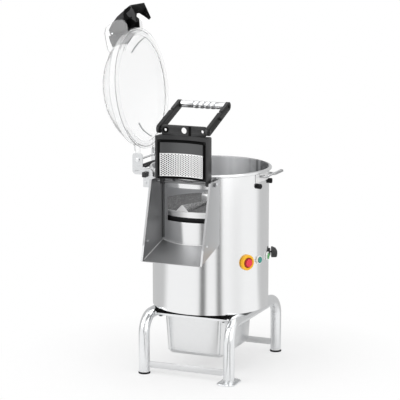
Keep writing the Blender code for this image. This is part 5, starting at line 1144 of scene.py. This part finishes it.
def on_chute_floor(x, y):
    """Point on the chute's sloping floor, raised to the middle of a weld bead."""
    return Vector((x, y, CHUTE_FLOOR.z + (y - CHUTE_FLOOR.y) * math.tan(CHUTE_SLOPE) + WELD_LIFT))


def build_chute_welds():
    """Thin weld beads where the chute's floor meets its sides and the drum."""
    routes = []
    for side, x in (("left", AXIS.x - CHUTE_INNER), ("right", AXIS.x + CHUTE_INNER)):
        ends = [on_chute_floor(x, CHUTE_BACK - 0.002), on_chute_floor(x, CHUTE_LOW.y + 0.012)]
        routes.append((side, ends, Vector((1, 0, 0))))
    seam = []
    for step in range(WELD_STEPS + 1):
        x = CHUTE_INNER * (2 * step / WELD_STEPS - 1)
        seam.append(on_chute_floor(AXIS.x + x, AXIS.y - math.sqrt((DRUM_RADIUS + WELD_LIFT) ** 2 - x ** 2)))
    routes.append(("drum", seam, Vector((0, -math.sin(CHUTE_SLOPE), math.cos(CHUTE_SLOPE)))))
    for name, route, normal in routes:
        data = round_bar("chute_weld_" + name, route, WELD_RADIUS, normal, WELD_SIDES)
        add_fine(data, "plate", "satin_steel", "frame")


def glow_surface(tree, colour):
    """Plain light of a colour, for the studio alone."""
    glow = put(tree, "Emission")
    feed(tree, glow, Color=colour, Strength=1.0)
    return glow.outputs[0]


def blend_surface(tree, factor, first, second):
    """Mix two surfaces."""
    node = put(tree, "MixShader")
    feed(tree, node, n0=factor, n1=first, n2=second)
    return node.outputs[0]


def seen_directly(tree, path):
    """Mask of rays from the camera, straight or through clear plastic."""
    return calc(tree, "MAXIMUM", path.outputs["Is Camera Ray"], path.outputs["Is Transmission Ray"])


def floor_finish():
    """Pale floor with the machine's shadow; white away from it, and the studio's walls to the metal."""
    skin, tree, shader = start_material("pale_floor", FLOOR_COLOUR, 0.9, 0.0)
    away = vector_calc(tree, "SUBTRACT", object_place(tree), tuple(AXIS))
    reach = vector_calc(tree, "LENGTH", away, output="Value")
    fade = remap(tree, reach, SHADOW_NEAR, SHADOW_FAR, SHADOW_LIFT, 1.0)
    path = put(tree, "LightPath")
    seen = seen_directly(tree, path)
    white = glow_surface(tree, WHITE_LIGHT)
    surface = blend_surface(tree, calc(tree, "MULTIPLY", fade, seen), shader.outputs[0], white)
    far = remap(tree, reach, MIRROR_NEAR, MIRROR_FAR, 0.0, 1.0)
    unseen = calc(tree, "MULTIPLY", far, calc(tree, "SUBTRACT", 1.0, seen))
    mirrored = calc(tree, "MULTIPLY", path.outputs["Is Glossy Ray"], unseen)
    walls = place_group(tree, WALLS, Direction=away).outputs["Colour"]
    surface = blend_surface(tree, mirrored, surface, glow_surface(tree, walls))
    tree.links.new(surface, tree.nodes["Material Output"].inputs["Surface"])
    return skin


def build_floor():
    """Round floor, wide enough to reach past the picture."""
    shape = bmesh.new()
    bmesh.ops.create_circle(shape, cap_ends=True, segments=96, radius=FLOOR_RADIUS)
    bmesh.ops.translate(shape, verts=shape.verts, vec=AXIS)
    data = bpy.data.meshes.new("studio_floor")
    shape.to_mesh(data)
    shape.free()
    floor = bpy.data.objects.new("studio_floor", data)
    SHAPES.objects.link(floor)
    data.materials.append(floor_finish())


def build_world():
    """White to the camera, the studio's walls to the metal, and a plain even light to everything else."""
    world = bpy.data.worlds.new("studio")
    bpy.context.scene.world = world
    world.use_nodes = True
    tree = world.node_tree
    tree.nodes.clear()
    walls = place_group(tree, WALLS, Direction=put(tree, "TexCoord").outputs["Generated"]).outputs["Colour"]
    path = put(tree, "LightPath")
    lights = []
    for colour, strength in ((WHITE_LIGHT, STUDIO_LEVEL), (walls, 1.0), (WHITE_LIGHT, 1.0)):
        light = put(tree, "Background")
        feed(tree, light, Color=colour, Strength=strength)
        lights.append(light.outputs[0])
    even, mirrored, white = lights
    surface = blend_surface(tree, path.outputs["Is Glossy Ray"], even, mirrored)
    surface = blend_surface(tree, seen_directly(tree, path), surface, white)
    tree.links.new(surface, put(tree, "OutputWorld").inputs["Surface"])


def add_lamp(name, place, size, power):
    """A soft square lamp aimed at the machine's middle."""
    lamp = bpy.data.lights.new(name, "AREA")
    lamp.shape = "SQUARE"
    lamp.size = size
    lamp.energy = power
    item = bpy.data.objects.new(name, lamp)
    SHAPES.objects.link(item)
    item.location = AXIS + place
    item.rotation_euler = (LAMP_TARGET - place).to_track_quat("-Z", "Y").to_euler()


def build_camera():
    """Camera at the photograph's viewing angle."""
    view = bpy.data.cameras.new("photo_camera")
    view.sensor_width = CAMERA_SENSOR
    view.lens = CAMERA_LENS
    camera = bpy.data.objects.new("photo_camera", view)
    bpy.context.scene.collection.objects.link(camera)
    camera.location = AXIS + CAMERA_OFFSET
    camera.rotation_euler = CAMERA_TURN
    bpy.context.scene.camera = camera


def build_studio():
    """Floor, walls, lamps and camera."""
    build_floor()
    build_world()
    for name, place, size, power in LAMPS:
        add_lamp(name, Vector(place), size, power)
    build_camera()
    bpy.context.scene.view_settings.view_transform = "Standard"


def main():
    """Dress the machine and set the studio."""
    dress_nodes()
    build_tubes()
    build_insert()
    build_grip()
    build_stop()
    build_buttons()
    build_timer()
    build_screws()
    build_lid_ribs()
    build_seal_lip()
    build_lock_bar_trim()
    build_base_strips()
    build_chute_corner()
    build_hood_trim()
    build_chute_welds()
    build_studio()
    bpy.context.view_layer.update()


main()
